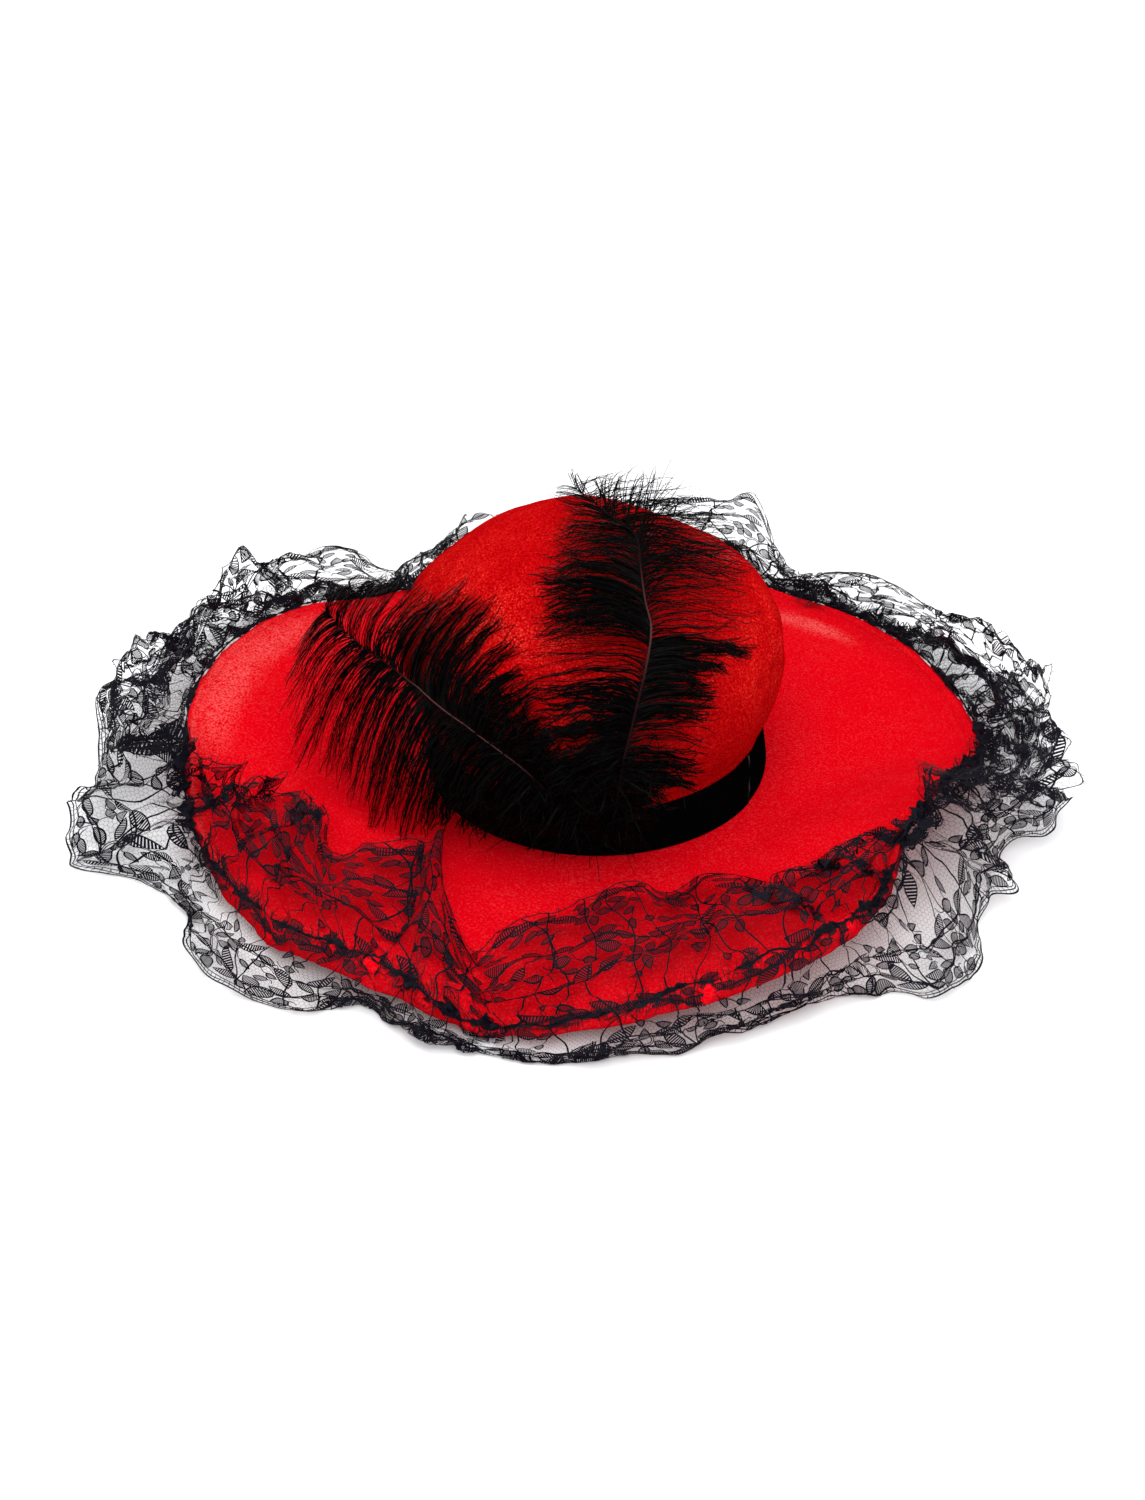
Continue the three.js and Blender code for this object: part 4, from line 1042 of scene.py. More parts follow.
class Pattern:
    """Garlands of slender leaves, rings, vines and open net in one repeat, my
    own layout."""

    def __init__(self):
        self.mask = np.zeros((MU, MV), bool)
        self.leaves = []
        self.lines = []   # (points (m, 2), width)
        g = self.g = np.random.default_rng(7)
        v_all = (np.arange(MV) + 0.5) * MASK_STEP
        u_all = (np.arange(MU) + 0.5) * MASK_STEP
        self.outside = (v_all[None] < edge_in(u_all)[:, None] + 0.6) | (v_all[None] > edge_out(u_all)[:, None] - 0.6)
        for (u, v, r) in [(37, 60, 5.6), (118, 146, 5.2)]:
            self.big_ring(u, v, r)
        for (u, v) in [(104, 22), (56, 146), (126, 66)]:
            self.flower(u, v)
        # middle of the garland, its wave (height, count, phase) and a smaller
        # one, how far apart its leaves stand
        vines = [
            (13, 3.5, 2, 0.3, 1.5, 5, 8.0),
            (45, 6.0, 1, 2.0, 2.0, 3, 8.6), (66, 7.0, 1, 4.4, 2.0, 2, 8.6),
            (105, 7.0, 1, 1.1, 1.5, 3, 8.5),
            (137, 5.0, 1, 5.6, 1.6, 3, 8.6), (154, 4.0, 2, 0.9, 1.2, 5, 8.0),
        ]
        for k, row in enumerate(vines):
            self.vine(row, k)
        # sprigs that cross the open net
        for (u0, v0, u1, v1) in [(18, 24, 34, 42), (88, 26, 70, 45), (134, 25, 122, 46),
                                 (20, 76, 42, 98), (66, 74, 84, 97), (128, 72, 112, 98),
                                 (12, 110, 30, 132), (80, 110, 62, 133), (112, 112, 134, 134)]:
            self.sprig(np.array([u0, v0], float), np.array([u1, v1], float))
        # branches that wander right across the ribbon and close the net in cells
        w = np.linspace(5, RIB_W - 6, 46)
        for i in range(8):
            turn = g.random() * 6.283
            u = (i + 0.5 * g.random()) * UNIT / 8 + (7.0 if i % 2 else -7.0) * np.sin(w / 21 + turn)
            u = u + 3.0 * np.sin(w / 8.5 + 2.3 * turn) + (w - 85) * (0.10 if i % 3 else -0.16)
            self.lines.append((np.stack([u, w], -1), 0.95))
        self.fill()

    def stamp(self, leaf, test_only=False):
        u, v, ang, length, width, bend = leaf
        half = length + 2
        iu = np.arange(int((u - half) / MASK_STEP), int((u + half) / MASK_STEP))
        iv = np.arange(max(0, int((v - half) / MASK_STEP)), min(MV, int((v + half) / MASK_STEP)))
        if len(iv) < 2:
            return 1.0
        gu, gv = np.meshgrid((iu + 0.5) * MASK_STEP - u, (iv + 0.5) * MASK_STEP - v, indexing="ij")
        c, s = math.cos(ang), math.sin(ang)
        xi = (gu * c + gv * s) / length
        eta = -gu * s + gv * c - bend * length * xi * (1 - xi)
        inside = (xi > 0) & (xi < 1) & (np.abs(eta) < leaf_half(xi, width + 0.9))
        rows = iu % MU
        sub = self.mask[np.ix_(rows, iv)] | self.outside[np.ix_(rows, iv)]
        share = (sub & inside).sum() / max(1, inside.sum())
        if not test_only:
            m = self.mask[np.ix_(rows, iv)]
            m |= (xi > 0) & (xi < 1) & (np.abs(eta) < leaf_half(xi, width))
            self.mask[np.ix_(rows, iv)] = m
        return share

    def leaf(self, u, v, ang, length, width, bend, most=0.06):
        one = (u, v, ang, length, width, bend)
        if self.stamp(one, True) > most:
            return False
        self.stamp(one)
        self.leaves.append(one)
        return True

    def block(self, u, v, r):
        iu = np.arange(int((u - r) / MASK_STEP), int((u + r) / MASK_STEP) + 1)
        iv = np.arange(int((v - r) / MASK_STEP), int((v + r) / MASK_STEP) + 1)
        gu, gv = np.meshgrid((iu + 0.5) * MASK_STEP - u, (iv + 0.5) * MASK_STEP - v, indexing="ij")
        return iu % MU, iv, gu ** 2 + gv ** 2 < r * r

    def big_ring(self, u, v, r):
        a = np.linspace(0, 2 * math.pi, 25)
        for k in (1.0, 0.80):
            self.lines.append((np.stack([u + k * r * np.cos(a), v + k * r * np.sin(a)], -1), 0.55))
        iu, iv, m = self.block(u, v, r)
        self.outside[np.ix_(iu, iv)] |= m
        n = 6
        for i in range(n):
            b = 2 * math.pi * (i + 0.3) / n
            self.leaf(u + (r + 0.6) * math.cos(b), v + (r + 0.6) * math.sin(b), b + 0.35, 11, 5.2, 0.2, 0.25)

    def flower(self, u, v):
        a = np.linspace(0, 2 * math.pi, 13)
        self.lines.append((np.stack([u + 2.2 * np.cos(a), v + 2.2 * np.sin(a)], -1), 0.55))
        iu, iv, m = self.block(u, v, 2.2)
        self.outside[np.ix_(iu, iv)] |= m
        for i in range(5):
            b = 2 * math.pi * (i + 0.25) / 5
            self.leaf(u + 2.6 * math.cos(b), v + 2.6 * math.sin(b), b, 9.0, 5.6, 0.0, 0.5)

    def vine(self, row, k):
        v0, a1, n1, f, a2, n2, every = row
        u = np.linspace(0, UNIT, 151)
        w = 2 * math.pi * u / UNIT
        v = v0 + a1 * np.sin(n1 * w + f) + a2 * np.sin(n2 * w + 2 * f)
        pts = np.stack([u, v], -1)
        self.lines.append((pts[::2], 1.0))
        if k in (0, 2, 4, 5):   # a second thread runs along it
            off = 1.5 + 1.0 * np.sin(5 * w + k)
            self.lines.append((np.stack([u, v + off], -1)[::2], 0.60))
        s = np.concatenate([[0], np.cumsum(np.linalg.norm(np.diff(pts, axis=0), axis=1))])
        g = self.g
        at, sgn = 3.0 + 2 * k, 1
        while at < s[-1] - 2:
            i = np.searchsorted(s, at)
            i = min(max(i, 1), len(u) - 1)
            d = pts[i] - pts[i - 1]
            ang = math.atan2(d[1], d[0]) + (math.pi if k % 2 else 0)
            for tries in range(4):
                turn = sgn * (0.20 + 0.34 * g.random())
                ln = 14.0 + 7.5 * g.random() - tries * 1.9
                if self.leaf(pts[i][0], pts[i][1], ang + turn, ln, min(7.8, ln * (0.36 + 0.14 * g.random())),
                             -sgn * (0.15 + 0.30 * g.random()), 0.07):
                    break
            sgn = -sgn
            at += every * (0.8 + 0.4 * g.random())

    def sprig(self, a, b):
        w = np.linspace(0, 1, 9)[:, None]
        d = b - a
        side = np.array([-d[1], d[0]]) / np.linalg.norm(d)
        pts = a + d * w + side * (3.2 * np.sin(math.pi * w) + 1.2 * np.sin(2.6 * math.pi * w))
        self.lines.append((pts, 0.60))
        for i, sgn in ((2, 1), (5, -1)):
            e = pts[i + 1] - pts[i]
            self.leaf(*pts[i], math.atan2(e[1], e[0]) + sgn * 0.6, 8.5, 4.0, -sgn * 0.3, 0.1)

    def fill(self):
        """Smaller leaves in the garlands' gaps; the net between stays open."""
        g = self.g
        bands = [(6, 26), (38, 73), (97, 110), (131, 163)]
        sure = np.zeros(MV, bool)
        v_all = (np.arange(MV) + 0.5) * MASK_STEP
        for a, b in bands:
            sure |= (v_all > a) & (v_all < b)
        for _ in range(2600):
            if self.mask[:, sure].mean() > 0.44:
                break
            a, b = bands[g.choice(4, p=[0.22, 0.36, 0.1, 0.32])]
            u, v = g.random() * UNIT, a + g.random() * (b - a)
            ln = 7.0 + 7.0 * g.random()
            ang = (g.random() - 0.5) * 1.2 + (math.pi if g.random() < 0.5 else 0)
            if self.leaf(u, v, ang, ln, ln * (0.42 + 0.18 * g.random()), (g.random() - 0.5) * 0.6, 0.03):
                back = 4 + 5 * g.random()
                w = np.linspace(0, 1, 5)[:, None]
                a2, b2 = np.array([u, v]), np.array([u - back * math.cos(ang + 0.5), v - back * math.sin(ang + 0.5)])
                bow = np.array([-math.sin(ang), math.cos(ang)]) * 1.5
                self.lines.append((a2 + (b2 - a2) * w + bow * (4 * w * (1 - w)), 0.55))
        print("lace pattern:", len(self.leaves), "leaves a repeat, cover", round(float(self.mask.mean()), 3))


def build_lace():
    pat = Pattern()
    reps = (np.arange(REPEATS) * UNIT)[:, None, None]

    def uvn(q):
        return np.stack([np.mod(q[..., 0], RIB_L) / RIB_L, q[..., 1] / RIB_W], -1)

    L = np.array(pat.leaves)
    c, s = np.cos(L[:, 2])[:, None], np.sin(L[:, 2])[:, None]

    def local(xi, eta):
        """Leaf's own place (share along, mm across) to the ribbon's."""
        a = xi * L[:, 3:4]
        e = eta + L[:, 5:6] * L[:, 3:4] * xi * (1 - xi)
        return np.stack([L[:, 0:1] + a * c - e * s, L[:, 1:2] + a * s + e * c], -1)

    motif = Heap()
    # fill: close bars across each leaf
    bars = 12
    xi = (np.arange(bars) + 0.6) / (bars + 0.2)
    h = leaf_half(xi[None], L[:, 4:5])
    bar_w = 0.33 * L[:, 3:4] / bars  # half width, mm
    dxi = bar_w / L[:, 3:4]
    slant = 0.18
    corners = [
        local(xi[None] - dxi - slant * h / L[:, 3:4], -h), local(xi[None] + dxi - slant * h / L[:, 3:4], -h),
        local(xi[None] + dxi + slant * h / L[:, 3:4], h), local(xi[None] - dxi + slant * h / L[:, 3:4], h),
    ]
    q = np.stack(corners, 2)                      # leaves, bars, 4, 2
    q = q.reshape(-1, 4, 2)
    q = (q[None] + np.concatenate([reps, 0 * reps], -1)[:, None]).reshape(-1, 4, 2)
    motif.loose_quads(on_lace(q[..., 0], q[..., 1]), uv=uvn(q))
    # outline cords
    m = 7
    w = np.linspace(0, 1, m)
    up = local(w[None], leaf_half(w[None], L[:, 4:5]))
    dn = local(w[None, ::-1], -leaf_half(w[None, ::-1], L[:, 4:5]))
    ring = np.concatenate([up, dn[:, 1:]], 1)     # closed: last = first
    rings = (ring[None] + np.array([1, 0]) * (np.arange(REPEATS) * UNIT)[:, None, None, None]).reshape(-1, ring.shape[1], 2)

    def cord(lines, width, heap, rise=0.22, lift=0.10):
        """Ridged threads along lines (n, m, 2) on the ribbon."""
        d = np.gradient(lines, axis=1)
        d = d / np.maximum(np.linalg.norm(d, axis=-1, keepdims=True), 1e-9)
        nrm = np.stack([-d[..., 1], d[..., 0]], -1)
        hw = np.broadcast_to(np.asarray(width, float), lines.shape[:2])[..., None] / 2
        a, b = lines - nrm * hw, lines + nrm * hw
        pa, pb = on_lace(a[..., 0], a[..., 1]), on_lace(b[..., 0], b[..., 1])
        pc = on_lace(lines[..., 0], lines[..., 1], rise)
        n, mm = lines.shape[:2]
        v = np.stack([pa, pc, pb], 2)
        idx = np.arange(n * mm * 3).reshape(n, mm, 3)
        qq = np.concatenate([
            np.stack([idx[:, :-1, k], idx[:, :-1, k + 1], idx[:, 1:, k + 1], idx[:, 1:, k]], -1).reshape(-1, 4)
            for k in (0, 1)
        ])
        uv = uvn(np.stack([a, lines, b], 2))
        heap.add(v.reshape(-1, 3), q=qq, uv=uv.reshape(-1, 2))

    def flat_cord(lines, width, heap):
        d = np.gradient(lines, axis=1)
        d = d / np.maximum(np.linalg.norm(d, axis=-1, keepdims=True), 1e-9)
        nrm = np.stack([-d[..., 1], d[..., 0]], -1)
        hw = np.broadcast_to(np.asarray(width, float), lines.shape[:2])[..., None] / 2
        a, b = lines - nrm * hw, lines + nrm * hw
        pa, pb = on_lace(a[..., 0], a[..., 1], 0.08), on_lace(b[..., 0], b[..., 1], 0.08)
        n, mm = lines.shape[:2]
        v = np.stack([pa, pb], 2)
        idx = np.arange(n * mm * 2).reshape(n, mm, 2)
        qq = np.stack([idx[:, :-1, 0], idx[:, :-1, 1], idx[:, 1:, 1], idx[:, 1:, 0]], -1).reshape(-1, 4)
        uv = uvn(np.stack([a, b], 2))
        heap.add(v.reshape(-1, 3), q=qq, uv=uv.reshape(-1, 2))

    g = np.random.default_rng(17)
    flat_cord(rings, 0.72 + 0.25 * g.random((len(rings), 1)), motif)
    for pts, wd in pat.lines:
        many = (pts[None] + np.array([1, 0]) * (np.arange(REPEATS) * UNIT)[:, None, None])
        cord(many, wd, motif)
    # corded edges: one along the inner scallops, three along the outer edge
    u = np.arange(0, RIB_L + 0.1, 2.0)
    edges = Heap()
    for off, wd in ((0.0, 0.65),):
        v = edge_in(u) + off + 0.25 * np.sin(u / 2.3)
        cord(np.stack([u, v], -1)[None], wd, edges, rise=0.35)
    for off, wd in ((0.0, 1.1), (2.2, 0.75), (4.6, 0.6)):
        v = edge_out(u) - off + (0.4 * np.sin(u / 3.1 + off) if off else 0)
        cord(np.stack([u, v], -1)[None], wd, edges, rise=0.4)
    # short bars between the corded edges
    u = np.arange(0, RIB_L, 3.0)
    one = np.stack([np.stack([u, edge_out(u) - 4.4], -1), np.stack([u + 1.0, edge_out(u) - 2.0], -1),
                    np.stack([u, edge_out(u) + 0.2], -1)], 1)
    flat_cord(one, 0.35, edges)
    # loose thread ends on the inner edge
    n = 1500
    uu = g.random(n) * RIB_L
    ln = 1.0 + 3.0 * g.random(n) ** 2
    lean = g.normal(0, 1.0, n)
    three = np.stack([np.stack([uu, edge_in(uu)], -1),
                      np.stack([uu + 0.4 * lean, edge_in(uu) - 0.5 * ln], -1),
                      np.stack([uu + 1.1 * lean, edge_in(uu) - ln], -1)], 1)
    flat_cord(three, 0.22, edges)

    # hexagonal net, left out under the leaves
    pitch = UNIT / 58
    a = pitch / math.sqrt(3)
    rows = int(RIB_W / (1.5 * a)) + 1
    I, J = np.meshgrid(np.arange(58), np.arange(rows), indexing="ij")
    cx, cy = I * pitch + (J % 2) * pitch / 2, J * 1.5 * a
    ang = np.radians([30, 90, 150, 330])
    vx = [np.stack([cx + a * math.cos(b), cy + a * math.sin(b)], -1) for b in ang]
    segs = np.concatenate([
        np.stack([vx[0], vx[1]], -2).reshape(-1, 2, 2),
        np.stack([vx[1], vx[2]], -2).reshape(-1, 2, 2),
        np.stack([vx[3], vx[0]], -2).reshape(-1, 2, 2),
    ])
    mid = segs.mean(1)
    inside = (mid[:, 1] > edge_in(mid[:, 0]) + 0.3) & (mid[:, 1] < edge_out(mid[:, 0]) - 4.2)
    mi = np.clip((np.mod(mid[:, 0], UNIT) / MASK_STEP).astype(int), 0, MU - 1)
    mj = np.clip((mid[:, 1] / MASK_STEP).astype(int), 0, MV - 1)
    segs = segs[inside & ~pat.mask[mi, mj]]
    d = segs[:, 1] - segs[:, 0]
    nrm = np.stack([-d[:, 1], d[:, 0]], -1) / np.linalg.norm(d, axis=1, keepdims=True) * 0.055
    quad = np.stack([segs[:, 0] - nrm, segs[:, 0] + nrm, segs[:, 1] + nrm, segs[:, 1] - nrm], 1)
    nets = []
    for k in range(2):
        net = Heap()
        for r in range(k * REPEATS // 2, (k + 1) * REPEATS // 2):
            qq = quad + np.array([r * UNIT, 0])
            net.loose_quads(on_lace(qq[..., 0], qq[..., 1]), uv=uvn(qq))
        nets.append(net)
    return motif, edges, nets


# ------------------------------------------------------------------ lace: the sewn gathers
def build_gathers():
    """The gathering line: bunched cloth drawn up on its thread."""
    heap = Heap()
    g = np.random.default_rng(71)
    n = 1200
    az = np.arange(n) * 360.0 / n
    wander = 1.6 * waves(polar(az, 225 + 0 * az, 0 * az)[..., :2], 30, 72)
    front = ease((66 - np.abs(wrap(az - 264))) / 20)
    line = polar(az, edge_r(az) + 1.1 - front * (1.3 - wander), edge_z(az) + 0.7 - back_turn(az))
    size = 1.35 - 0.40 * ease((100 - np.abs(wrap(az - 262))) / 30)
    for a, half, k in LACE_BUNCHES:
        size += k * 0.42 * bell(wrap(az - a) / half)
    size = size * np.clip(0.70 + 0.55 * waves(polar(az, 225 + 0 * az, 0 * az)[..., :2], 26, 77), 0.30 - 0.18 * front, 1.5)
    tang = unit_of(np.roll(line, -1, 0) - np.roll(line, 1, 0))
    out = unit_of(np.stack([np.cos(np.radians(az)), np.sin(np.radians(az)), 0 * az], -1))
    up = np.cross(tang, out)
    up = up * np.where(up[:, 2:3] < 0, -1, 1)
    # a crumpled roll: its section changes from stitch to stitch
    sides = 10
    ang = np.arange(sides) * 2 * math.pi / sides
    ring = polar(az, 225 + 0 * az, 0 * az)[..., :2]
    rows = []
    for k in range(sides):
        w = 0.60 + 0.34 * waves(ring + k * 31.7, 5.0, 80 + k) + 0.30 * waves(ring + k * 11.3, 13.0, 95 + k)
        r = size * np.clip(w, 0.12, 1.5)
        rows.append(line + (out * math.cos(ang[k]) * 1.15 + up * math.sin(ang[k])) * r[:, None] * 1.25)
    grid = np.stack(rows, 1)
    idx = np.arange(n * sides).reshape(n, sides)
    idx = np.vstack([idx, idx[:1]])
    nx = np.roll(idx, -1, 1)
    q = np.stack([idx[:-1], nx[:-1], nx[1:], idx[1:]], -1).reshape(-1, 4)
    uv = np.stack([np.repeat(az[:, None] / 360, sides, 1), np.broadcast_to(ang / 6.3, (n, sides))], -1)
    heap.add(grid.reshape(-1, 3), q=q, uv=uv)
    # drawn threads running out of the gathers into the leaves, both ways
    m = 1900
    u0 = g.random(m) * RIB_L
    sgn = np.where(g.random(m) < 0.5, -1.0, 1.0)
    ln = 5 + 14 * g.random(m)
    s = np.linspace(0, 1, 6)
    uu = u0[:, None] + (g.normal(0, 1.6, m))[:, None] * s
    vv = GATHER_V + sgn[:, None] * ln[:, None] * s
    c = on_lace(uu, vv, 0.15)
    d = np.gradient(c, axis=1)
    side = unit_of(np.cross(d, np.broadcast_to(np.array([0.3, 0.2, 1.0]), d.shape)))
    heap.ribbons(c, side, 0.5 * (1 - 0.5 * s)[None] * np.ones((m, 1)),
                 uv=np.stack([uu / RIB_L % 1, vv / RIB_W], -1))
    return heap.make("lace_gathers", M_LACE, smooth=False)


# ------------------------------------------------------------------ plumes
CROWN_ARR = np.array(CROWN, float)


def crown_distance(p):
    h = p[..., 2] - BASE_Z - 0.3
    rho = np.hypot(p[..., 0] - crown_lean(h), p[..., 1])
    best = np.full(h.shape, 1e9)
    for a, b in zip(CROWN_ARR[:-1], CROWN_ARR[1:]):
        dr, dh = b[1] - a[1], b[0] - a[0]
        t = np.clip(((rho - a[1]) * dr + (h - a[0]) * dh) / (dr * dr + dh * dh), 0, 1)
        best = np.minimum(best, np.hypot(rho - a[1] - t * dr, h - a[0] - t * dh))
    inside = (h > 0) & (h < CROWN_H) & (rho < crown_r(np.clip(h, 0, CROWN_H)))
    return np.where(inside, -best, best)


def clear_of_crown(p, gap, rounds=40):
    q = p.copy()
    for _ in range(rounds):
        d = crown_distance(q)
        m = d < gap
        if not m.any():
            break
        x = q[m]
        c = np.stack([np.full(len(x), float(crown_lean(80))), np.zeros(len(x)),
                      np.minimum(x[:, 2], BASE_Z + 70)], -1)
        v = x - c
        ln = np.linalg.norm(v, axis=1)
        g = gap[m] if np.ndim(gap) else gap
        q[m] = x + v / ln[:, None] * np.maximum(0.25, (g - d[m]) * 0.8)[:, None]
    return q


def settle(p, gap):
    """Clear of the crown, the band and the brim."""
    q = clear_of_crown(p, gap, 30)
    r, az = np.hypot(q[..., 0], q[..., 1]), np.degrees(np.arctan2(q[..., 1], q[..., 0]))
    top = brim_top(r, az) + 1.3
    low = (r < edge_r(az)) & (q[..., 2] < top)
    q[..., 2] = np.where(low, top + 0.4 * np.abs(np.sin(q[..., 0] * 3.1 + q[..., 1] * 1.7)), q[..., 2])
    face = crown_r(np.clip(q[..., 2] - BASE_Z - 0.3, 0, 27)) + GAP + BAND_WALL + 1.1
    band = (q[..., 2] < BASE_Z + BAND_H + 1.5) & (r < face)
    k = np.where(band, face / np.maximum(r, 1), 1.0)
    q[..., 0] *= k
    q[..., 1] *= k
    return q


def rows_at(rows, s):
    """Smooth values of the section table at s from 0 to 1 (Catmull-Rom)."""
    t = np.array(rows, float).reshape(len(rows), -1)
    n = len(t)
    x = np.clip(s, 0, 1) * (n - 1)
    i = np.clip(np.floor(x).astype(int), 0, n - 2)
    f = (x - i)[:, None]
    p0, p1, p2, p3 = t[np.maximum(i - 1, 0)], t[i], t[i + 1], t[np.minimum(i + 2, n - 1)]
    out = 0.5 * (2 * p1 + (p2 - p0) * f + (2 * p0 - 5 * p1 + 4 * p2 - p3) * f ** 2
                 + (3 * p1 - p0 - 3 * p2 + p3) * f ** 3)
    return out.reshape(len(s), 3, 3)


def build_plume(name, rows, gap, seed, quill_tone, quill_r, tufts, dense, fluff, hairs=(), barb_gap=1.2):
    """rows: sections; tufts: (side, first share, last share, barbs, reach,
    pull towards a shared tip, lift off the plume's plane, looseness);
    dense: for each side, how thick the web is along the quill; fluff: (last share, strands); hairs: (share, tip, count, scatter)."""
    g = np.random.default_rng(seed)
    heap = Heap()
    n = 90
    s = np.linspace(0, 1, n)
    q = rows_at(rows, s)[:, 0]
    q = clear_of_crown(q, gap)
    # the quill passes through the middle of the barbs, over the down
    # the quill's tone along its length: its own tan, lighter in the middle, partly a painted highlight
    tone = np.interp(s, [a for a, _ in quill_tone], [b for _, b in quill_tone])
    heap.tube(q, np.interp(s, [a for a, _ in quill_r], [b for _, b in quill_r]), 6, tone=tone,
              uv=np.stack([s, 0 * s + 0.99], -1))
    m = 13
    tau = np.linspace(0, 1, m)
    t3 = tau[None, :, None]
    barbs, widths, webs = [], [], []
    for side, s0, s1, count, reach, pull, lift, loose in tufts:
        sb = s0 + (s1 - s0) * np.sort((np.arange(count) + g.random(count) * 0.9) / count)
        R = rows_at(rows, sb)
        root = clear_of_crown(R[:, 0], gap)
        own = R[:, side]
        # barbs cling together in narrow fingers of uneven length
        groups = max(1, int(round((s1 - s0) / 0.034)))
        cuts = (np.arange(1, groups) + g.uniform(-0.28, 0.28, groups - 1)) / groups
        of = np.digitize((sb - s0) / (s1 - s0), cuts)
        heart = np.array([sb[of == k].mean() if (of == k).any() else s0 for k in range(groups)])
        common = rows_at(rows, heart[of])[:, side]
        common = root + (common - root) * g.uniform(0.80, 1.06, groups)[of][:, None]
        thick = np.interp(sb, [a for a, _ in dense[side]], [b for _, b in dense[side]])
        vec = own - root
        ln = np.linalg.norm(vec, axis=1, keepdims=True)
        size = np.clip(ln / 40, 0.35, 1.3)
        tang = unit_of(rows_at(rows, np.clip(sb + 0.02, 0, 1))[:, 0] - rows_at(rows, np.clip(sb - 0.02, 0, 1))[:, 0])
        plane = unit_of(np.cross(tang, vec))
        away = root - np.array([[LEAN_X, 0, 70]])
        plane = plane * np.sign((plane * away).sum(1, keepdims=True) + 1e-9)
        # the middle of a tuft is longest
        where = (sb - s0) / (s1 - s0) * 2 - 1
        length = reach * (1.0 - 0.16 * where[:, None] ** 2 + 0.05 * g.normal(size=(count, 1)))
        short = g.random((count, 1)) < 0.22
        length = np.where(short, length * g.uniform(0.45, 0.9, (count, 1)), length)
        draw = (common - own) * np.clip(pull + 0.12 + 0.10 * g.normal(size=(count, 1)), 0, 1)
        bend = ((0.09 if side == 1 else 0.13) + 0.04 * g.normal(size=(count, 1))) * ln
        off = lift + 1.6 * loose * g.normal(size=(count, 1))
        droop = g.normal(0, 1.0, (count, 1)) * loose
        path = (root[:, None] + vec[:, None] * length[:, None] * t3
                + draw[:, None] * t3 ** 1.2
                + (tang * bend)[:, None] * (np.sin(math.pi * t3 ** 0.75) * 0.8)
                + (plane * off)[:, None] * (np.sin(math.pi * 0.62 * t3)) * size[:, None]
                + (tang * droop * 1.5)[:, None] * t3 ** 2 * size[:, None])
        wig = waves(path.reshape(-1, 3), 15, seed + 5).reshape(count, m, 1)
        wig2 = waves(path.reshape(-1, 3), 11, seed + 6).reshape(count, m, 1)
        path = path + tang[:, None] * wig * 0.6 * loose * t3 + plane[:, None] * wig2 * 0.5 * loose * t3
        wig = waves(path.reshape(-1, 3), 7, seed + 7).reshape(count, m, 1)
        path = path + tang[:, None] * wig * 0.45 * max(0, loose - 0.9) * t3
        # some tips curl
        curl = np.where(g.random((count, 1)) < 0.18, g.normal(0, 1, (count, 1)), 0) * 6.0 * max(0, loose - 0.45)
        path = path + (tang * curl)[:, None] * np.clip((t3 - 0.62) / 0.38, 0, 1) ** 1.8
        barbs.append(settle(path, barb_gap + 0 * path[..., 0]))
        widths.append(0.62 * (1 - 0.60 * tau)[None] * thick[:, None])
        webs.append(thick)
    # down round the foot of the quill
    last, strands = fluff
    if strands:
        sb = last * g.random(strands) ** 1.1
        R = rows_at(rows, sb)
        root = clear_of_crown(R[:, 0], gap)
        side = g.integers(1, 3, strands)
        vec = R[np.arange(strands), side] - root
        root = root + vec * g.random((strands, 1)) * 0.6
        ln = 10 + 16 * g.random((strands, 1))
        d = unit_of(unit_of(vec) + 0.9 * g.normal(size=(strands, 3)))
        bow = unit_of(g.normal(size=(strands, 3)))
        path = (root[:, None] + (d * ln)[:, None] * t3
                + (bow * ln * 0.35)[:, None] * np.sin(math.pi * t3 * g.uniform(0.6, 1.6, (strands, 1, 1))))
        barbs.append(settle(path, barb_gap + 0 * path[..., 0]))
        widths.append(np.broadcast_to((0.75 * (1 - 0.6 * tau))[None], (strands, m)))
        webs.append(np.full(strands, 1.0))
    # single long barbs that stand out over the tip
    for share_at, tip, count, scatter in hairs:
        sb = np.clip(share_at + 0.035 * g.normal(size=count), 0, 1)
        root = clear_of_crown(rows_at(rows, sb)[:, 0], gap)
        end = np.array(tip, float) + scatter * g.normal(size=(count, 3))
        tang = unit_of(rows_at(rows, np.clip(sb + 0.02, 0, 1))[:, 0] - rows_at(rows, np.clip(sb - 0.02, 0, 1))[:, 0])
        vec = end - root
        ln = np.linalg.norm(vec, axis=1, keepdims=True)
        lift = unit_of(root - np.array([[LEAN_X, 0, 100]]))
        path = (root[:, None] + vec[:, None] * t3
                + (lift * ln * 0.16)[:, None] * np.sin(math.pi * t3)
                + (tang * ln * (0.10 + 0.05 * g.normal(size=(count, 1))))[:, None] * np.sin(math.pi * t3 ** 0.8))
        barbs.append(settle(path, barb_gap + 0 * path[..., 0]))
        widths.append(np.broadcast_to((0.58 * (1 - 0.62 * tau))[None], (count, m)))
        webs.append(np.full(count, 0.7))
    P = np.concatenate(barbs)
    W = np.concatenate(widths)
    web = np.concatenate(webs)
    LN = np.linalg.norm(np.diff(P, axis=1), axis=-1).sum(1)
    d = unit_of(np.gradient(P, axis=1))
    centre = np.array([LEAN_X, 0, 60.0])
    outw = unit_of(P - centre)
    sidev = unit_of(np.cross(d, outw))
    twist = g.uniform(-0.8, 0.8, (len(P), 1, 1))
    nrm = unit_of(np.cross(sidev, d))
    sidev = sidev * np.cos(twist) + nrm * np.sin(twist)
    share = np.linspace(0, 1, m)
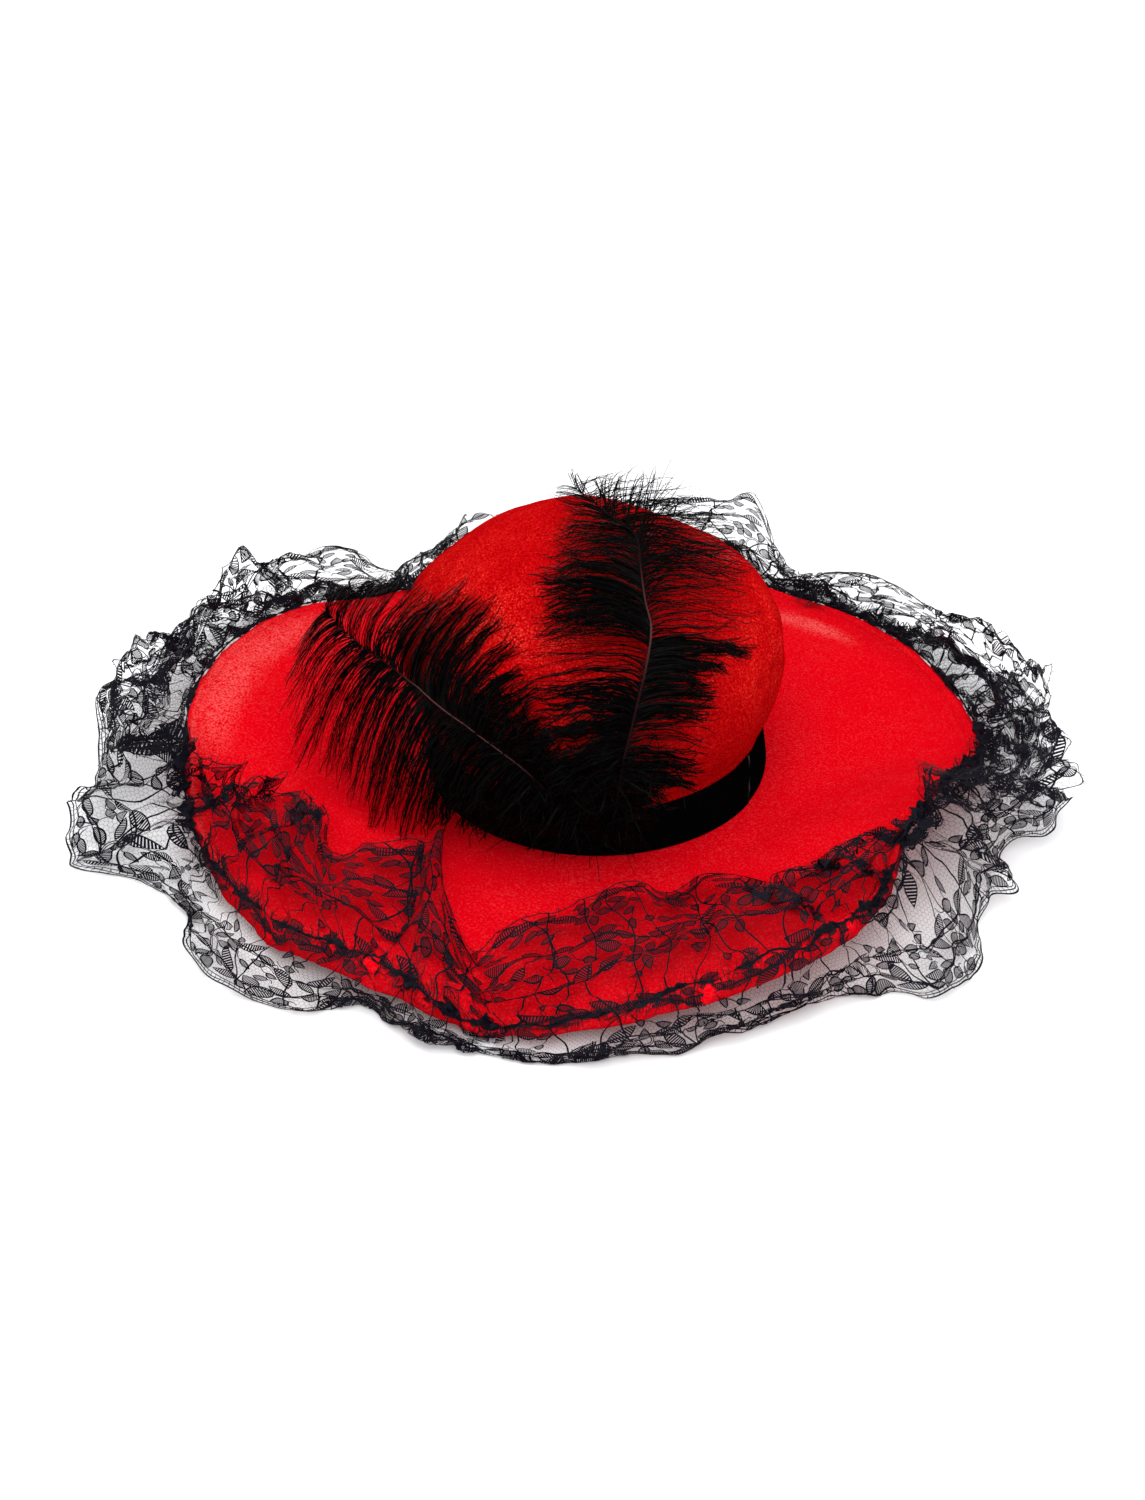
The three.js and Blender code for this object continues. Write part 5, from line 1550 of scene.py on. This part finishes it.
    heap.ribbons(P, sidev, W, uv=np.stack([np.broadcast_to(share, (len(P), m)),
                                           np.repeat(g.random((len(P), 1)), m, 1) * 0.9], -1))
    # barbules: fine hairs on both edges of each barb
    budget = 183500 - heap.triangles()
    share_of = LN * web ** 1.3
    counts = np.maximum(5, (share_of * budget / share_of.sum()).astype(int))
    which = np.repeat(np.arange(len(P)), counts)
    t = g.random(len(which)) ** 0.95 * (m - 1.001)
    i = t.astype(int)
    f = (t - i)[:, None]
    a = P[which, i] * (1 - f) + P[which, i + 1] * f
    dd = d[which, i]
    ss = sidev[which, i] * np.where(g.random((len(which), 1)) < 0.5, -1, 1)
    nn = nrm[which, i]
    ln = (1.1 + 1.5 * g.random((len(which), 1)) ** 1.5) * np.interp(t / (m - 1), [0, 0.1, 0.8, 1], [0.6, 1, 0.9, 0.5])[:, None]
    tipv = a + (dd * 0.85 + ss * 0.65 + nn * g.normal(0, 0.40, (len(which), 1))) * ln
    wdt = (0.085 * web[which] ** 1.2)[:, None]
    tri = np.stack([a - dd * wdt, a + dd * wdt, tipv], 1)
    k = len(tri)
    heap.add(tri.reshape(-1, 3), t=np.arange(k * 3).reshape(k, 3),
             uv=np.stack([np.repeat(t / m, 3), np.full(3 * k, 0.93)], -1))
    print(name, "barbs", len(P), "triangles", heap.triangles())
    return heap


# side, first share, last share, barbs, reach, pull, lift, looseness
TUFTS_LEFT = [
    (1, 0.00, 0.16, 95, 0.92, 0.45, 1.5, 1.6), (1, 0.12, 0.30, 95, 0.95, 0.50, 1.5, 1.4),
    (1, 0.27, 0.42, 80, 1.00, 0.60, 1.0, 1.2), (1, 0.40, 0.52, 58, 1.00, 0.70, 0.5, 1.0),
    (1, 0.50, 0.60, 70, 1.02, 0.80, 0.0, 0.9), (1, 0.58, 0.67, 60, 0.98, 0.82, 0.0, 0.9),
    (1, 0.65, 0.73, 55, 1.03, 0.85, 0.0, 0.8), (1, 0.71, 0.79, 50, 0.98, 0.85, 0.0, 0.8),
    (1, 0.77, 0.84, 45, 1.03, 0.85, 0.0, 0.8), (1, 0.82, 0.89, 40, 1.00, 0.82, 0.0, 0.8),
    (1, 0.87, 0.93, 34, 1.02, 0.80, 0.0, 0.8), (1, 0.91, 0.97, 28, 1.00, 0.70, 0.0, 0.8),
    (1, 0.95, 1.00, 26, 1.00, 0.50, 0.0, 0.8),
    (2, 0.00, 0.15, 85, 0.90, 0.40, 2.0, 1.7), (2, 0.12, 0.30, 90, 0.95, 0.45, 2.0, 1.5),
    (2, 0.27, 0.43, 85, 1.00, 0.55, 1.5, 1.2), (2, 0.40, 0.53, 68, 1.04, 0.65, 1.0, 1.0),
    (2, 0.50, 0.61, 56, 1.00, 0.70, 0.5, 1.0), (2, 0.58, 0.68, 48, 1.05, 0.72, 0.5, 0.9),
    (2, 0.66, 0.74, 50, 0.98, 0.78, 0.0, 0.9), (2, 0.72, 0.80, 45, 1.03, 0.78, 0.0, 0.9),
    (2, 0.78, 0.86, 42, 1.00, 0.74, 0.0, 0.9), (2, 0.84, 0.92, 38, 1.03, 0.68, 0.0, 0.9),
    (2, 0.90, 1.00, 40, 1.00, 0.52, 0.0, 0.9),
    # a second layer over the foot
    (1, 0.00, 0.50, 120, 0.80, 0.10, 6.0, 2.4), (2, 0.00, 0.48, 120, 0.80, 0.10, 6.0, 2.4),
]
TUFTS_RIGHT = [
    (1, 0.00, 0.11, 70, 0.95, 0.45, 1.5, 1.6), (1, 0.08, 0.20, 95, 1.08, 0.65, 1.0, 1.3),
    (1, 0.20, 0.27, 26, 1.02, 0.55, 0.5, 1.6), (1, 0.26, 0.355, 95, 1.00, 0.60, 1.0, 1.2),
    (1, 0.35, 0.43, 85, 1.10, 0.65, 1.0, 1.2), (1, 0.43, 0.50, 24, 1.02, 0.55, 0.0, 2.0),
    (1, 0.50, 0.58, 24, 0.98, 0.55, 0.0, 2.0), (1, 0.57, 0.66, 40, 1.02, 0.66, 0.0, 2.0),
    (1, 0.65, 0.74, 42, 1.05, 0.68, 0.0, 2.0), (1, 0.73, 0.82, 40, 1.03, 0.66, 0.0, 1.9),
    (1, 0.80, 0.88, 30, 1.05, 0.60, 0.0, 1.7), (1, 0.86, 0.94, 24, 1.05, 0.58, 0.0, 1.5),
    (1, 0.92, 1.00, 18, 1.05, 0.45, 0.0, 1.0),
    (2, 0.00, 0.12, 85, 0.95, 0.40, 2.0, 1.8), (2, 0.10, 0.22, 95, 1.05, 0.50, 1.5, 1.8),
    (2, 0.20, 0.29, 58, 1.08, 0.60, 1.0, 1.8), (2, 0.285, 0.36, 30, 1.05, 0.60, 0.5, 1.7),
    (2, 0.36, 0.41, 12, 1.05, 0.50, 0.0, 1.2), (2, 0.41, 0.48, 78, 1.04, 0.62, 0.5, 1.6),
    (2, 0.47, 0.55, 66, 1.00, 0.65, 0.0, 1.5), (2, 0.54, 0.63, 62, 1.04, 0.68, 0.0, 1.4),
    (2, 0.62, 0.71, 50, 1.00, 0.68, 0.0, 1.9), (2, 0.70, 0.79, 44, 1.02, 0.66, 0.0, 1.9),
    (2, 0.78, 0.87, 36, 1.02, 0.64, 0.0, 1.8), (2, 0.86, 0.94, 26, 1.05, 0.56, 0.0, 1.6),
    (2, 0.92, 1.00, 26, 1.05, 0.40, 0.0, 1.0),
    (1, 0.00, 0.18, 60, 0.80, 0.10, 6.0, 2.4), (2, 0.00, 0.32, 100, 0.85, 0.10, 6.0, 2.4),
]


def build_stitches():
    """The few pale stitches that hold the two quills on the band."""
    heap = Heap()
    g = np.random.default_rng(5)
    for k in range(9):
        az = -97.5 + 2.35 * k + 0.5 * g.normal()
        z = BASE_Z + BAND_H * 0.98 + 0.8 * g.normal()
        r = float(crown_r(26)) + GAP + BAND_WALL + 4.5
        s = np.linspace(0, 1, 6)
        a = az + 2.1 * s
        line = polar(a, r + 0.55 * np.sin(math.pi * s), 0 * s)
        line[:, 2] = z + 0.6 * (s - 0.5) * (1 if k % 2 else -1)
        heap.tube(line, 0.24, 5, uv=np.stack([s, 0 * s + k / 10], -1))
    return heap.make("feather_stitches", M_STITCH, smooth=True)


# ------------------------------------------------------------------ make the pieces
crown = build_crown()
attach(crown, "root")
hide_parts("crown")

brim = build_brim()
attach(brim, "root")
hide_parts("brim")

band = build_band()
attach(band, "root")
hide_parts("hat_band")

motif_heap, edge_heap, net_heaps = build_lace()
lace = motif_heap.make("lace_motifs", M_LACE)
edges = edge_heap.make("lace_edges", M_LACE)
nets = [h.make(f"lace_net_{k + 1}", M_LACE) for k, h in enumerate(net_heaps)]
gathers = build_gathers()
for o in [lace, edges, *nets, gathers]:
    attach(o, "root")
    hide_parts("lace_ruffle")

plume_l = build_plume(
    "plume_left", PLUME_LEFT, FEATHER_CROWN_GAP, 101,
    [(0, 0.0), (0.14, 0.08), (0.25, 0.34), (0.36, 0.55), (0.55, 0.58), (0.66, 0.34), (0.8, 0.18), (1, 0.05)],
    [(0, 0.8), (0.25, 0.52), (0.6, 0.38), (1.0, 0.12)],
    TUFTS_LEFT,
    {1: [(0, 2.0), (0.30, 1.9), (0.42, 1.6), (0.52, 1.3), (0.62, 1.2), (1, 1.0)],
     2: [(0, 2.0), (0.45, 1.5), (0.60, 1.3), (0.68, 1.2), (0.76, 1.0), (1, 0.95)]}, (0.42, 640),
    [(0.955, (-121, -8, 139), 6, 2.2), (0.95, (-114, -8, 145), 6, 2.2), (0.94, (-108, -8, 150), 6, 2.4),
     (0.93, (-103, -8, 144), 6, 2.4), (0.97, (-136, -8, 133), 6, 2.2), (0.98, (-144, -8, 133), 5, 2.0)],
).make("plume_left", M_PLUME)
plume_r = build_plume(
    "plume_right", PLUME_RIGHT, FEATHER_CROWN_GAP + 8, 202,
    [(0, 0.04), (0.15, 0.12), (0.30, 0.30), (0.45, 0.52), (0.6, 0.42), (0.75, 0.22), (0.88, 0.12), (1, 0.05)],
    [(0, 0.95), (0.3, 0.78), (0.6, 0.55), (1.0, 0.16)],
    TUFTS_RIGHT,
    {1: [(0, 2.0), (0.20, 1.8), (0.235, 0.9), (0.26, 1.5), (0.42, 1.5), (0.46, 0.8), (0.57, 0.85), (0.66, 1.1), (0.85, 0.95), (1, 0.75)],
     2: [(0, 2.0), (0.28, 1.9), (0.35, 1.1), (0.41, 0.8), (0.47, 1.5), (0.62, 1.2), (0.80, 0.95), (1, 0.75)]}, (0.20, 420),
    [(0.93, (-12, 32, 183), 9, 1.8), (0.88, (-3, 33, 182), 8, 1.8), (0.84, (8, 34, 183), 8, 2.0),
     (0.80, (17, 34, 185), 9, 2.2), (0.77, (25, 34, 188), 9, 2.2), (0.74, (33, 34, 188), 8, 2.4),
     (0.73, (45, 35, 203), 1, 0.5), (0.71, (44, 33, 184), 5, 2.4), (0.69, (52, 30, 175), 5, 2.6),
     (0.66, (62, 24, 168), 8, 3.0), (0.62, (72, 18, 158), 8, 3.0), (0.57, (76, 8, 150), 7, 3.0)],
).make("plume_right", M_PLUME)
for o, node in ((plume_l, "feather_left"), (plume_r, "feather_right")):
    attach(o, "root")
    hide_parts(node)

stitches = build_stitches()
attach(stitches, "root")

# the ribbon's cut is a rectangle, open between its leaves and vines. area is
# that of the leaves, outlines and vines laid flat, each counted whole where
# they cross, as in the mesh
LACE_CUT = RIB_W * RIB_L / 1e6
LACE_FLAT = motif_heap.flat_area(RIB_L, RIB_W) / 1e6
print("lace flat: leaves and vines", round(LACE_FLAT, 4), "m2, share of the cut", round(LACE_FLAT / LACE_CUT, 3))

# ------------------------------------------------------------------ floor, light, camera
fm, ft, fp = nodes_of("studio_floor")
fw = ft.nodes.new("ShaderNodeTexCoord").outputs["Object"]
fc = ramp_node(ft, noise_node(ft, fw, 1.2, 2, 0.5), [(0.3, (0.905, 0.905, 0.925)), (0.7, (0.925, 0.925, 0.94))])
ft.links.new(fc, fp.inputs["Base Color"])
fp.inputs["Roughness"].default_value = 0.32
fp.inputs["Specular IOR Level"].default_value = 0.4
me = bpy.data.meshes.new("studio_floor")
S = 7.0
me.from_pydata([(-S, -S, -0.0003), (S, -S, -0.0003), (S, S, -0.0003), (-S, S, -0.0003)], [], [(0, 1, 2, 3)])
me.materials.append(fm)
floor = bpy.data.objects.new("studio_floor", me)
bpy.context.scene.collection.objects.link(floor)

world = bpy.data.worlds.new("studio")
bpy.context.scene.world = world
world.use_nodes = True
bg = world.node_tree.nodes["Background"]
bg.inputs[0].default_value = (1.0, 1.0, 1.0, 1)
bg.inputs[1].default_value = 1.00


def area_light(name, where, target, size, power, colour=(1, 1, 1)):
    d = bpy.data.lights.new(name, "AREA")
    d.shape = "RECTANGLE"
    d.size, d.size_y = size
    d.energy = power
    d.color = colour
    o = bpy.data.objects.new(name, d)
    o.location = where
    o.rotation_euler = (Vector(target) - Vector(where)).to_track_quat("-Z", "Y").to_euler()
    bpy.context.scene.collection.objects.link(o)
    return o


area_light("over_left", (-0.9, 0.3, 2.2), (0, 0, 0.05), (1.8, 1.8), 6.5)
area_light("over_right", (1.3, 0.6, 2.0), (0, 0, 0.05), (1.4, 1.4), 4.5)
area_light("top", (0.05, -0.45, 2.3), (0, -0.1, 0.05), (1.2, 1.0), 16)
area_light("front", (0.1, -1.8, 1.9), (0, 0, 0.05), (2.4, 1.4), 42)

cam_data = bpy.data.cameras.new("camera")
cam = bpy.data.objects.new("camera", cam_data)
bpy.context.scene.collection.objects.link(cam)
bpy.context.scene.camera = cam
# the photograph looks down at 35 degrees from 1.9 m; its frame is 1145 x 1500
TARGET = (np.array([-13.5, 5.5, 25.0]) + SHIFT) * 0.001
EL, DIST = math.radians(35.0), 1.9
cam.location = Vector((
    TARGET[0], TARGET[1] - DIST * math.cos(EL), TARGET[2] + DIST * math.sin(EL)))
cam.rotation_euler = (Vector(TARGET) - cam.location).to_track_quat("-Z", "Y").to_euler()
cam_data.sensor_width = 36.0
cam_data.lens = 3401.0 / 1500.0 * 36.0
cam_data.clip_start, cam_data.clip_end = 0.05, 60

sc = bpy.context.scene
sc.view_settings.view_transform = "Standard"
sc.view_settings.look = "None"

for o in bpy.data.objects:
    if o.type == "MESH" and not o.hide_render:
        print(o.name, "triangles", sum(len(p.vertices) - 2 for p in o.data.polygons))

bpy.context.view_layer.update()
